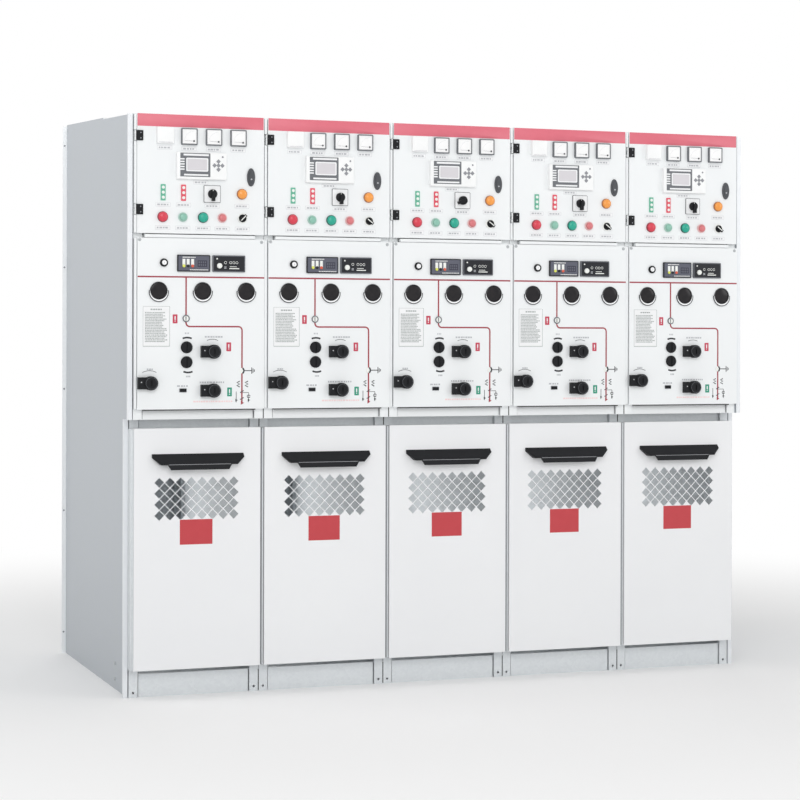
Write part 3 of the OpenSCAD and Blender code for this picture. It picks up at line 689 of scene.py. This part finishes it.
amber = moulded("amber lens", (244, 158, 70), 0.2)
amber_rim = moulded("amber rim", (168, 112, 78), 0.4)
red_rim = moulded("red rim", (150, 56, 70), 0.4)
teal_rim = moulded("teal rim", (34, 92, 82), 0.4)
button_red = moulded("button red", (214, 60, 78), 0.25)
button_teal = moulded("button teal", (30, 166, 142), 0.25)
lamp_green = moulded("lamp green", (138, 190, 172), 0.25)
lamp_green_rim = moulded("lamp green rim", (176, 208, 196), 0.3)
lamp_red = moulded("lamp red", (213, 118, 122), 0.25)
lamp_red_rim = moulded("lamp red rim", (230, 184, 184), 0.3)
lamp_parts = head(*alarm_at, button_r, amber, amber_rim)
lamp_parts += head(button_x[0], button_row, button_r, button_red, red_rim)
lamp_parts += collared(button_x[1], button_row, small_r, lamp_green, lamp_green_rim)
lamp_parts += head(button_x[2], button_row, button_r, button_teal, teal_rim)
lamp_parts += collared(button_x[3], button_row, small_r, lamp_red, lamp_red_rim)
on_each_door("buttons_and_lamps", lamp_parts, "white_plastic", replaced="door_fittings")


# ---- Selector ------------------------------------------------------------------
# A black turn knob in a pale collar, with a white pointer along its bar. It is
# turned up on the first cabinet and down on the others.

for number in range(cabinets):
    x, z = selector_at
    heading = 45 if number == 0 else -38
    collar = in_mm((18.5, 0), (18.5, 3.5), (17, 5), (14, 5))
    knob = in_mm((14.5, 3), (14.5, 7), (13.5, 9))
    selector_parts = [
        behind(x, z, button_depth),
        (*turned(collar, x, z), lamp_white),
        (*turned(knob, x, z), black_plastic),
        (*swept(stroke(x, z, heading, -14 * mm, 17 * mm), 9 * mm, 8 * mm, 17 * mm), black_plastic),
        (*swept(stroke(x, z, heading, -12 * mm, 14 * mm), 3.4 * mm, 17 * mm, 17.3 * mm), lamp_white),
    ]
    on_door(number, "selector", selector_parts, "black_plastic", replaced="door_fittings")


# ---- Door lock -----------------------------------------------------------------
# An oval lock plate with a raised swing handle.


def oval(x, z, w, h, profile, steps=40):
    """Ellipse carried outwards: w/2 cos t across and h/2 sin t upwards, each less
    the inset of profile, a list of (inset, out)."""
    angle = np.linspace(0, 2 * np.pi, steps, endpoint=False)
    inset, out = np.array(profile, float).T[:, :, None]
    right = x + (w / 2 - inset) * np.cos(angle)
    upwards = z + (h / 2 - inset * 1.4) * np.sin(angle)
    return lifted(right, upwards, out)


latch_grey = moulded("latch grey", (78, 80, 84), 0.42, 12, 0.3)
latch_w = 31 * mm
latch_h = 68 * mm
shell = in_mm((0, 0), (0, 4), (0.8, 6), (2.4, 7), (4, 6.6))
handle = in_mm((0, 6), (0.4, 8), (1.6, 9))
latch_parts = [
    behind(*latch_at, 0.5),
    (*oval(*latch_at, latch_w, latch_h, shell), latch_grey),
    (*oval(*latch_at, latch_w * 0.62, latch_h * 0.7, handle), latch_grey),
    (*turned(in_mm((3, 8.8), (3, 9.3)), latch_at[0], latch_at[1] - 8 * mm, 16), print_grey),
]
on_each_door("door_lock", latch_parts, "black_plastic", replaced="door_fittings")


# ---- Viewing windows -----------------------------------------------------------
# Dark round lenses in black tubes. A half-round white collar with a dark edge
# stands below each of them.


def on_panels(name, parts, replaced=(), plane_y=face_y):
    """The same piece on the panel of every cabinet, as one mesh."""
    moved = [part for number in range(cabinets) for part in shifted(parts, number)]
    make_piece(name, moved, "root", plane_y, replaced)


def up_panel(share):
    """A height on the mechanism panel, as a share of the panel's own."""
    return panel_low.z + (panel_high.z - panel_low.z) * share


window_at = [(across(share), up_panel(0.6922)) for share in (0.184, 0.517, 0.852)]
bright_plastic = moulded("bright collar", (248, 249, 250), 0.25)
edge_plastic = moulded("collar edge", (54, 56, 60), 0.45)
lens_finish = Finish("dark lens", Roughness=0.12, Specular_IOR_Level=0.2)
lens_finish.wear(lens_finish.mixed(lens_finish.noise(20 * mm), tint(26, 26, 30), tint(46, 43, 44)))
lens_r = 31 * mm
tube_r = 33 * mm
collar_r = 37.5 * mm
collar_drop = 4 * mm
tube_back = -6 * mm
lens_parts = []
collar_parts = []
for x, z in window_at:
    dome = [(lens_r, tube_back), (lens_r, 1 * mm), (lens_r * 0.96, 1.9 * mm), (lens_r * 0.8, 2.5 * mm),
            (lens_r * 0.5, 2.9 * mm), (lens_r * 0.2, 3 * mm)]
    add(lens_parts, turned(dome, x, z, 48), lens_finish)
    tube = [(tube_r, tube_back), (tube_r, 3.4 * mm), (tube_r - 0.6 * mm, 4 * mm), (lens_r + 0.1 * mm, 4 * mm),
            (lens_r + 0.1 * mm, 0.5 * mm)]
    add(collar_parts, turned(tube, x, z, 48), edge_plastic)
    inner = arc(x, z, tube_r - 0.4 * mm, 180, 360, 40)
    middle_line = arc(x, z - collar_drop, collar_r - 3.2 * mm, 172, 368, 40)
    outer = arc(x, z - collar_drop, collar_r, 172, 368, 40)
    add(collar_parts, ribbon(middle_line, inner, 0, 3.6 * mm), bright_plastic)
    add(collar_parts, ribbon(outer, middle_line, 0, 4 * mm), edge_plastic)
on_panels("viewing_lenses", lens_parts, ["window_lenses"])
on_panels("window_collars", collar_parts, ["window_bezels"])


# ---- Display modules -----------------------------------------------------------
# A live-line indicator and a fault indicator in flat grey and black cases, the
# ring of the panel's key lock, and the counter low on the panel.

module_w = 125 * mm
module_h = 62 * mm
module_out = 8 * mm
module_grey = moulded("module grey", (92, 94, 106), 0.45, 6, 0.3)
module_edge = moulded("module edge", (98, 100, 106), 0.45, 6, 0.3)
module_black = moulded("module black", (34, 35, 40), 0.4, 6, 0.25)
screen_dark = foil("screen dark", (58, 58, 72), 0.15)
yellow_lamp = moulded("yellow lamp", (222, 226, 96), 0.2)
orange_lamp = moulded("orange lamp", (214, 92, 66), 0.2)
module_parts = []
module_z = up_panel(0.8544)
first_x = across(0.446)
second_x = across(0.715)
for x, shade, edge in ((first_x, module_grey, module_black), (second_x, module_black, module_edge)):
    case = [(0, 0), (0, module_out - 1 * mm), (0.6 * mm, module_out)]
    add(module_parts, plate(module_w, module_h, 3 * mm, case, x, module_z), edge)
    face = [(0, module_out - 0.1 * mm), (0.1 * mm, module_out + 0.2 * mm)]
    add(module_parts, plate(module_w - 8 * mm, module_h - 8 * mm, 2 * mm, face, x, module_z), shade)
front = module_out + 0.2 * mm


def lettered(x, up, w, row_h, seed, finish=lamp_white, rows=1):
    """Plain blocks about x, in millimetres, at a height from the modules' middle."""
    add(module_parts, writing(x, module_z + up * mm, w * mm, rows, row_h * mm, front, seed), finish)


def raised(x, up, w, h, low, high, finish):
    """Flat boxes about x on a module's face, in millimetres like the lettering."""
    shape = bars(x, module_z + up * mm, w * mm, h * mm, front + low * mm, front + high * mm)
    add(module_parts, shape, finish)


column = first_x + np.array([-38, -22, -5]) * mm
raised(column, 5, 11, 22, 0, 0.2, lamp_white)
lettered(first_x - 18 * mm, 22, 50, 3.2, 40)
lettered(first_x + 20 * mm, -24, 70, 3, 41)
raised(first_x + 32 * mm, -1, 36, 24, 0, 0.3, screen_dark)
for x, shade in zip(column, (yellow_lamp, module_black, orange_lamp)):
    lamp = [(5.5 * mm, front), (5.5 * mm, front + 1.6 * mm), (3.6 * mm, front + 2.4 * mm)]
    add(module_parts, turned(lamp, x, module_z - 10 * mm, 20), shade)
digit_x = first_x + np.array([20, 28, 36, 44]) * mm
for up in (-6, 4):
    raised(digit_x, up, 5, 7, 0.3, 0.35, module_grey)
button = [(10 * mm, front), (10 * mm, front + 4 * mm), (8.5 * mm, front + 6 * mm), (5 * mm, front + 7 * mm)]
add(module_parts, turned(button, second_x - 37 * mm, module_z - 8 * mm, 28), lamp_white)
dot = [(3 * mm, front), (2.6 * mm, front + 0.6 * mm)]
add(module_parts, turned(dot, second_x - 46 * mm, module_z + 18 * mm, 16), lamp_white)
for right in (-14, 6, 18, 30):
    ring = arc(second_x + right * mm, module_z + 4 * mm, 4.4 * mm, 0, 345, 16)
    add(module_parts, swept(ring, 1.3 * mm, front, front + 0.1 * mm), lamp_white)
raised(second_x + np.array([16, 20]) * mm, np.array([-11, -18]), np.array([26, 38]), np.array([2, 3.4]),
       0, 0.1, lamp_white)
lettered(second_x - 14 * mm, -12, 9, 3, 42, print_grey, 2)
x, z = across(0.222), up_panel(0.8561)
key_ring = in_mm((15, 0), (15, 6), (13.5, 8), (10, 8), (9, 5))
add(module_parts, turned(key_ring, x, z), black_plastic)
core = in_mm((9, 4), (9, 6.6), (8, 7.2))
add(module_parts, turned(core, x + 1 * mm, z + 0.5 * mm, 28), bright_plastic)
add(module_parts, bars(x + 1 * mm, z, 1.4 * mm, 6 * mm, 7.2 * mm, 7.3 * mm), print_grey)
counter = in_mm((0, 0), (0, 4), (0.5, 4.5))
x, z = across(0.369), up_panel(0.1107)
add(module_parts, plate(25 * mm, 12 * mm, 1 * mm, counter, x, z), black_plastic)
on_panels("display_cases", module_parts, ["display_modules"])


# ---- Mimic diagram -------------------------------------------------------------
# A red film shows the busbar, the switch and the cable outlet, with the position
# indicator, the earthing branch and small black symbols along it.


def rounded(points, radius, steps=6):
    """A route whose right-angled corners are quarter circles: from the corner's
    centre, minus the radius times the two directions turned into each other."""
    points = np.array(points, float)
    route = [points[:1]]
    angle = np.linspace(0, np.pi / 2, steps)[:, None]
    for before, corner, after in zip(points, points[1:], points[2:]):
        back = (before - corner) / np.linalg.norm(before - corner)
        on = (after - corner) / np.linalg.norm(after - corner)
        centre = corner + radius * (back + on)
        route.append(centre - radius * (on * np.cos(angle) + back * np.sin(angle)))
    return np.concatenate([*route, points[-1:]])


mimic_red = foil("mimic red", (158, 56, 68))
print_black = foil("print black", (40, 42, 46))
film = (0, 0.3 * mm)
line_w = 5.6 * mm
bus_z = up_panel(0.7738)
run_x = across(0.391)
step_z = up_panel(0.4842)
drop_x = across(0.8205)
earth_z = up_panel(0.2247)
arrow_z = up_panel(0.0343)
mimic_parts = [
    (*bars(across(0.5) + 4.5 * mm, bus_z, panel_high.x / cabinets * 2 - 16 * mm, line_w, *film), mimic_red),
    (*swept(rounded([(run_x, bus_z), (run_x, step_z), (drop_x, step_z), (drop_x, arrow_z)], 14 * mm), line_w,
            0, 0.25 * mm), mimic_red),
    (*turned(in_mm((0.5, 0), (8, 0.1), (8, 0.4)), drop_x, arrow_z, 3), mimic_red),
]


def symbol(path, width=1.6 * mm):
    """A stroke of a printed symbol, its points in millimetres from the outlet line."""
    path = np.array(path, float) * mm + (drop_x, 0)
    add(mimic_parts, swept(path, width, *film), print_black)


disc = in_mm((10, 0), (10, 1.5), (9, 2))
add(mimic_parts, turned(disc, drop_x, earth_z, 28), lamp_white)
crescent = arc(drop_x - 4 * mm, earth_z, 11 * mm, -58, 58, 16)
add(mimic_parts, swept(crescent, 6 * mm, 1.9 * mm, 2.2 * mm), print_black)
earth = earth_z / mm
symbol([(10, earth), (38, earth)], 3 * mm)
for right, tall in ((38, 24), (43, 16), (48, 9)):
    symbol([(right, earth - tall / 2), (right, earth + tall / 2)], 2.8 * mm)
zigzag = np.array([(6, 12), (-6, 6), (6, 0), (-6, -6), (6, -12)])
for side in (-14, 18):
    symbol(zigzag * 0.9 + (side, earth - 50), 4 * mm)
symbol([(0, earth - 82), (26, earth - 82)], 1.8 * mm)
symbol([(-22, earth - 78), (-22, earth - 118)], 2.2 * mm)
symbol([(26, earth - 82), (26, earth - 118)], 1.8 * mm)
for side in (-22, 26):
    tip = in_mm((0.5, 0), (6, 0.1), (6, 0.35))
    add(mimic_parts, turned(tip, drop_x + side * mm, (earth - 110) * mm, 3), print_black)
loop = arc(drop_x + 26 * mm, (earth - 96) * mm, 5.5 * mm, 0, 340, 18)
add(mimic_parts, swept(loop, 2.4 * mm, *film), print_black)
for step in (78, 104):
    symbol([(-7, earth - step - 4), (7, earth - step + 4)], 3 * mm)
indicator = in_mm((13.5, 0), (13.5, 3), (12, 4), (10, 4), (9.6, 3))
indicator_z = up_panel(0.5309)
add(mimic_parts, turned(indicator, run_x, indicator_z, 32), grey_plastic)
add(mimic_parts, turned(in_mm((9.6, 2), (9.6, 3.2)), run_x, indicator_z, 32), lamp_white)
needle = stroke(run_x - 1 * mm, indicator_z, 90, -8 * mm, 8 * mm)
add(mimic_parts, swept(needle, 3 * mm, 3.2 * mm, 3.5 * mm), print_dark)
on_panels("mimic_diagram", mimic_parts)


# ---- Panel plates and marks ----------------------------------------------------
# The instruction plate with plain rows of bars, small red and green plates beside
# the switches, and the printed arcs that show which way each knob turns.

green_foil = foil("green foil", (52, 150, 124))
mark_red = foil("mark red", (194, 62, 86))
plate_print = foil("plate print", (158, 164, 163))
pink_print = foil("pale red print", (242, 214, 214))
mark_parts = []


def panel_plate(left, right, low, high, finish, out=0.4 * mm):
    """A thin plate, its edges in millimetres from the cabinet's left side and up
    from the panel's lower edge."""
    w, h = (right - left) * mm, (high - low) * mm
    x, z = (left + right) / 2 * mm, panel_low.z + (low + high) / 2 * mm
    rise = [(0, 0), (0, out - 0.1 * mm), (0.1 * mm, out)]
    add(mark_parts, plate(w, h, 1.5 * mm, rise, x, z, 2), finish)
    return x, z


panel_plate(33, 134.5, 232, 380, plate_print, 0.35 * mm)
x, z = panel_plate(34, 133, 234, 379, label_white, 0.5 * mm)
add(mark_parts, writing(x, z + 62 * mm, 44 * mm, 1, 5 * mm, 0.5 * mm, 50), plate_print)
add(mark_parts, writing(x, z + 50 * mm, 86 * mm, 19, 3.8 * mm, 0.5 * mm, 51), plate_print)
for x, z, shade in ((154, 334, mark_red), (359, 231, mark_red), (362.5, 63, green_foil)):
    panel_plate(x - 9, x + 9, z - 16.5, z + 16.5, shade, 0.6 * mm)
    panel_plate(x - 2.2, x + 2.2, z - 4, z + 10, label_white, 0.7 * mm)
    panel_plate(x - 2.2, x + 2.2, z - 10, z - 6.5, label_white, 0.7 * mm)
panel_plate(170, 199, 62, 78, print_grey, 0.5 * mm)
knob_x, knob_z = across(0.395), up_panel(0.3623)
lock_at = [(across(share), up_panel(rise))
           for share, rise in ((0.597, 0.3371), (0.597, 0.1085), (0.12, 0.1535))]
arcs = [
    (knob_x + 2.5 * mm, knob_z - 10 * mm, 46 * mm, 68, 112, 6.5 * mm, print_black),
    (knob_x + 6 * mm, up_panel(0.2753) + 8 * mm, 46 * mm, 248, 292, 6.5 * mm, print_black),
    (lock_at[0][0] - 2 * mm, lock_at[0][1] - 6 * mm, 52 * mm, 66, 114, 2 * mm, print_dark),
    (lock_at[2][0] - 2 * mm, lock_at[2][1] - 10 * mm, 56 * mm, 62, 118, 2 * mm, print_dark),
]
for x, z, radius, start, stop, width, shade in arcs:
    add(mark_parts, swept(arc(x, z, radius, start, stop, 14), width, 0, 0.2 * mm), shade)
notes = [(200, 281, 18, print_grey), (205, 121, 18, print_grey), (302, 268, 70, print_grey),
         (60, 148, 24, print_grey), (184, 86, 44, print_grey), (296, 99, 96, print_grey),
         (300, 28, 152, pink_print)]
for count, (x, z, w, shade) in enumerate(notes):
    add(mark_parts, writing(x * mm, panel_low.z + z * mm, w * mm, 1, 6 * mm, 0, 60 + count), shade)
on_panels("panel_marks", mark_parts)


# ---- Knobs and interlocks ------------------------------------------------------
# Black moulded knobs and interlocks. Small steel lock cylinders sit in the lock
# bodies.

coat(black_plastic, "operating_knobs")
steel = moulded("lock steel", (196, 198, 200), 0.3)
cylinder_parts = []
for x, z in lock_at:
    stud = in_mm((2.2, 18), (2.2, 20), (1.6, 20.4))
    add(cylinder_parts, turned(stud, x - 36 * mm, z + 4 * mm, 18), steel)
    groove = arc(x, z, 21 * mm, 0, 352, 40)
    add(cylinder_parts, swept(groove, 0.8 * mm, 26.8 * mm, 27.3 * mm), grey_plastic)
on_panels("lock_cylinders", cylinder_parts)


# ---- Cable doors ---------------------------------------------------------------
# Each door carries a black moulded grip, with a grey strip of painted highlight on
# the crease between its hood and its lip, and a bare red plate.

coat(black_plastic, *numbered("cable_door_grip"))
grip_low, grip_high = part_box("cable_door_grip_1")
grip_x = (grip_low.x + grip_high.x) / 2 - cabinet_x(0)
# Painted highlight: a thin grey strip where the crease of the grip catches the light.
strip_parts = [(*bars(grip_x, grip_low.z + 19.4 * mm, 236 * mm, 1.6 * mm, 30 * mm, 34.4 * mm), print_grey)]
on_each_door("grip_strip", strip_parts, "black_plastic", "cable_door", cable_door_low.y)
red_coat = foil("red plate", (194, 64, 71), 0.35)
red_plate_z = cable_door_high.z - 386 * mm
red_plate_at = (across(0.488), red_plate_z)
backing = plate(128 * mm, 96 * mm, 2 * mm, in_mm((0, 0), (0, 0.8), (0.3, 1)), *red_plate_at, 3)
red_face = plate(125 * mm, 93 * mm, 1 * mm, in_mm((0, 0.9), (0, 1.1)), *red_plate_at, 2)
plate_parts = [(*backing, label_white), (*red_face, red_coat)]
on_each_door("red_plate", plate_parts, "white_paint", "cable_door", cable_door_low.y)


# ---- Gap strips ----------------------------------------------------------------
# White folded strips close the gaps between the doors and panels of neighbouring
# cabinets and above each mechanism panel, and stop short at the hinges. Between the
# cable doors lie a grey strip of painted shade, for the shade deep in the gap, and a
# zinc strip; at the first door zinc alone.

strip_back = face_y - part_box("upper_posts")[0].y
strip_profile = [(0, strip_back), (0, -3 * mm), (0.6 * mm, -2.2 * mm), (1.4 * mm, -2 * mm)]
hinge_z = [up_door(0.8153), up_door(0.1982)]
hinge_free = 21 * mm
stops = [door_low.z + 1 * mm, hinge_z[1] - hinge_free, hinge_z[1] + hinge_free,
         hinge_z[0] - hinge_free, hinge_z[0] + hinge_free, door_high.z - 1 * mm]
gap_parts = []
for left, right, low, high in ((-1.5, 7.5, panel_low.z + 2 * mm, panel_high.z - 2 * mm),
                               *((-2.5, 6.5, *stops[n:n + 2]) for n in (0, 2, 4))):
    centre = ((left + right) / 2 * mm, (low + high) / 2)
    add(gap_parts, plate((right - left) * mm, high - low, 1.5 * mm, strip_profile, *centre), white_coat)
lower_back = face_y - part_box("lower_posts")[0].y
lower_front = face_y - cable_door_low.y
lower_profile = [(0, lower_back), (0, lower_front - 7 * mm), (0.6 * mm, lower_front - 6.2 * mm),
                 (1.4 * mm, lower_front - 6 * mm)]
# Painted shade: a mid-grey strip in each gap between cable doors, for the shade deep in that gap.
painted_gap_shade = moulded("painted gap shade", (128, 131, 135), 0.6)
zinc_x = 2.6 * mm
lower_w = 5.4 * mm
lower_h = cable_door_high.z - cable_door_low.z - 4 * mm
lower_z = (cable_door_low.z + cable_door_high.z) / 2
for middle_x, finish in ((-3 * mm, painted_gap_shade), (zinc_x, zinc)):
    add(gap_parts, plate(lower_w, lower_h, 1.5 * mm, lower_profile, middle_x, lower_z), finish)
first = [(points + (zinc_x, 0, 0), faces, zinc if finish is painted_gap_shade else finish)
         for points, faces, finish in gap_parts]
between = [part for number in range(1, cabinets) for part in shifted(gap_parts, number)]
make_piece("gap_strips", shifted(first, 0) + between, "root")
lip_low, lip_high = panel_high.z + 1.5 * mm, door_low.z - 3.5 * mm
lip_in = 39.5 * mm
lip = plate(cabinet_w - 2 * lip_in, lip_high - lip_low, 1.5 * mm, strip_profile,
            cabinet_w / 2, (lip_low + lip_high) / 2)
on_panels("shelf_lips", [(*lip, white_coat)])


# ---- Painted shade strips ------------------------------------------------------
# Dark strips of painted shade below each mechanism panel and in the joints between
# the posts, for the shade in those gaps, set back from the front.

# Painted shade: near-black strips where the gaps below the panels and between the posts fall into shade.
painted_shade_black = moulded("painted shade black", (60, 61, 63), 0.7)
shade_strip_in = 36 * mm
joint_w = 3.8 * mm
under_panel_shade = plate(cabinet_w - 2 * shade_strip_in, 4.4 * mm, 1 * mm, [(0, strip_back), (0, -3 * mm)],
             cabinet_w / 2, panel_low.z - 2.3 * mm)
on_panels("panel_shade_strips", [(*under_panel_shade, painted_shade_black)])
joint_parts = []
for low, high, back in ((walls_high.z + 1 * mm, panel_low.z - 1 * mm, strip_back),
                        (cable_door_high.z + 1 * mm, walls_high.z - 1 * mm, lower_back),
                        (3 * mm, cable_door_low.z - 22 * mm, lower_back)):
    rise = [(0, back - 2 * mm), (0, back + 0.4 * mm)]
    for number in range(1, cabinets):
        joint = plate(joint_w, high - low, 0.5 * mm, rise, cabinet_x(number), (low + high) / 2)
        add(joint_parts, joint, painted_shade_black)
make_piece("post_joint_shade_strips", joint_parts, "root")


# ---- Hinge covers --------------------------------------------------------------
# A black moulded cap over each hinge leaf on the doors, with two screws.


def screw(x, z, r, low=0.0):
    """A low round head."""
    button_head = [(r, low), (r * 0.96, low + 0.6 * mm), (r * 0.7, low + 1.4 * mm),
                   (r * 0.3, low + 1.8 * mm)]
    return turned(button_head, x, z, 16)


leaf_out = face_y - door_low.y
cap_left, cap_right = 5 * mm, 32 * mm
cap_parts = []
for z in hinge_z:
    x = (cap_left + cap_right) / 2
    cap = [(0, leaf_out + 0.2 * mm), (0, leaf_out + 0.8 * mm), (1 * mm, leaf_out + 1.6 * mm)]
    add(cap_parts, plate(cap_right - cap_left, 38 * mm, 2 * mm, cap, x, z), black_plastic)
    for step in (-10 * mm, 10 * mm):
        add(cap_parts, screw(x + 4 * mm, z + step, 2.6 * mm, leaf_out + 1.4 * mm), key_grey)
on_each_door("hinge_covers", cap_parts, "black_plastic")


# ---- Panel screws --------------------------------------------------------------
# Two bright round-headed screws hold the top of each mechanism panel. The slot in
# each head is a grey bar of painted shade.

zinc_bright = moulded("bright zinc", (186, 190, 192), 0.3)
screw_parts = []
for x, z in ((20 * mm, panel_high.z - 7 * mm), (cabinet_w - 15 * mm, panel_high.z - 10 * mm)):
    washer = in_mm((6.4, 0), (6.4, 0.7), (5.8, 1))
    add(screw_parts, turned(washer, x, z, 20), zinc_bright)
    add(screw_parts, screw(x, z, 4.4 * mm, 1 * mm), zinc_bright)
    # Painted shade: a grey bar on the head stands for the shade in the slot.
    add(screw_parts, plate(5 * mm, 1.4 * mm, 0.3 * mm, in_mm((0, 2.4), (0, 2.9)), x, z), key_grey)
on_panels("panel_screws", screw_parts)


# ---- End panel screws ----------------------------------------------------------
# Five screws hold the rear fold of each end panel, and two hex bolts its foot.

bolt_in = 335 * mm
for end, side in (("left", -1), ("right", 1)):
    fold_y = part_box(f"{end}_end_panel")[1].y - sheet
    fold_x = side * (walls_high.x + 12 * mm)
    heights = np.linspace(90 * mm, 2140 * mm, 5)
    end_parts = [(*screw(fold_x, z, 4 * mm), key_grey) for z in heights]
    for z in (40 * mm, 100 * mm):
        points, faces = turned(in_mm((7, 0), (7, 4), (6, 5)), 0, z, 6)
        along, upwards, out = points.T
        outside = side * (walls_high.x + sheet + out)
        points = np.stack([outside, upwards, fold_y + bolt_in - side * along], axis=1)
        end_parts.append((points, faces, zinc_bright))
    make_piece(f"{end}_end_screws", end_parts, "root", fold_y)


# ---- Rear cover screws ---------------------------------------------------------
# Flush screws along both sides of the rear covers; they face backwards.

rear_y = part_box("rear_covers")[1].y
screw_in = 25 * mm
rear_parts = []
for number in range(cabinets):
    for from_left in (screw_in, cabinet_w - screw_in):
        for z in [*np.linspace(125 * mm, 965 * mm, 3), *np.linspace(1050 * mm, 2170 * mm, 4)]:
            points, faces = turned(in_mm((5, -1), (5, 0.03), (2, 0.03)), 0, z, 12)
            along, upwards, out = points.T
            points = np.stack([cabinet_x(number) + from_left - along, upwards, -out], axis=1)
            rear_parts.append((points, faces, key_grey))
make_piece("rear_cover_screws", rear_parts, "root", rear_y)


# ---- Studio --------------------------------------------------------------------
# A plain pale floor, a white surround and soft lamps in front, above and behind. One
# small lamp in each cable compartment lets its grille show what lies inside.

scene = bpy.context.scene
scene.view_settings.view_transform = "Standard"
surround = 0.45
scene.world = bpy.data.worlds.new("surround")
scene.world.use_nodes = True
world_tree = scene.world.node_tree
backdrop = world_tree.nodes["Background"]
backdrop.inputs["Color"].default_value = (1, 1, 1, 1)
rays = world_tree.nodes.new("ShaderNodeLightPath")
seen = world_tree.nodes.new("ShaderNodeMath")
seen.operation = "MAXIMUM"
world_tree.links.new(rays.outputs["Is Camera Ray"], seen.inputs[0])
world_tree.links.new(rays.outputs["Is Glossy Ray"], seen.inputs[1])
level = world_tree.nodes.new("ShaderNodeMapRange")
level.inputs["To Min"].default_value = surround
world_tree.links.new(seen.outputs[0], level.inputs["Value"])
world_tree.links.new(level.outputs[0], backdrop.inputs["Strength"])


def soft_lamp(name, place, target, width, height, power):
    lamp = bpy.data.lights.new(name, "AREA")
    lamp.shape = "RECTANGLE"
    lamp.size = width
    lamp.size_y = height
    lamp.energy = power
    holder = bpy.data.objects.new(name, lamp)
    holder.location = place
    holder.rotation_euler = (Vector(target) - Vector(place)).to_track_quat("-Z", "Y").to_euler()
    holder.visible_camera = False
    scene.collection.objects.link(holder)


middle = Vector((0, 0, 1.1))
soft_lamp("front lamp", (-2.7, -7.8, 4.4), middle, 5, 4, 215)
soft_lamp("left lamp", (-4.2, 0.3, 4.6), (-1.3, 0, 2), 2.5, 1.5, 33)
soft_lamp("side lamp", (5.6, -5.6, 3.2), middle, 3, 3, 75)
soft_lamp("top lamp", (0, -1.0, 6.5), middle, 6, 4, 60)
soft_lamp("rear lamp", (1.5, 7.0, 3.5), middle, 5, 4, 115)
for number in range(cabinets):
    spot = Vector((cabinet_x(number) + cabinet_w / 2, walls_high.y - 90 * mm, 0.55))
    soft_lamp(f"compartment lamp {number + 1}", spot, spot - Vector((-0.3, 1, 0)), 0.36, 0.7, 1.2)

floor_size = 40
floor_mesh = bpy.data.meshes.new("floor")
half = floor_size / 2
corners = [(-half, -half, 0), (half, -half, 0), (half, half, 0), (-half, half, 0)]
floor_mesh.from_pydata(corners, [], [(0, 1, 2, 3)])
floor = bpy.data.objects.new("floor", floor_mesh)
scene.collection.objects.link(floor)
floor_finish = Finish("floor", Roughness=0.9, Specular_IOR_Level=0.1)
floor_finish.wear(tint(250, 250, 250))
away = floor_finish.node("VectorMath", {"operation": "LENGTH"}, {0: floor_finish.place()}, "Value")
fade = floor_finish.node("MapRange", {"interpolation_type": "SMOOTHSTEP"}, {0: away, 1: 1.6, 2: 5.0})
glow = floor_finish.node("Emission", {}, {"Color": (1, 1, 1, 1)})
lit = Wire(floor_finish, floor_finish.shader.outputs[0])
joined = floor_finish.node("MixShader", {}, {0: fade, 1: lit, 2: glow})
output = floor_finish.tree.nodes["Material Output"]
floor_finish.tree.links.new(joined.socket, output.inputs["Surface"])
floor_mesh.materials.append(floor_finish.material)
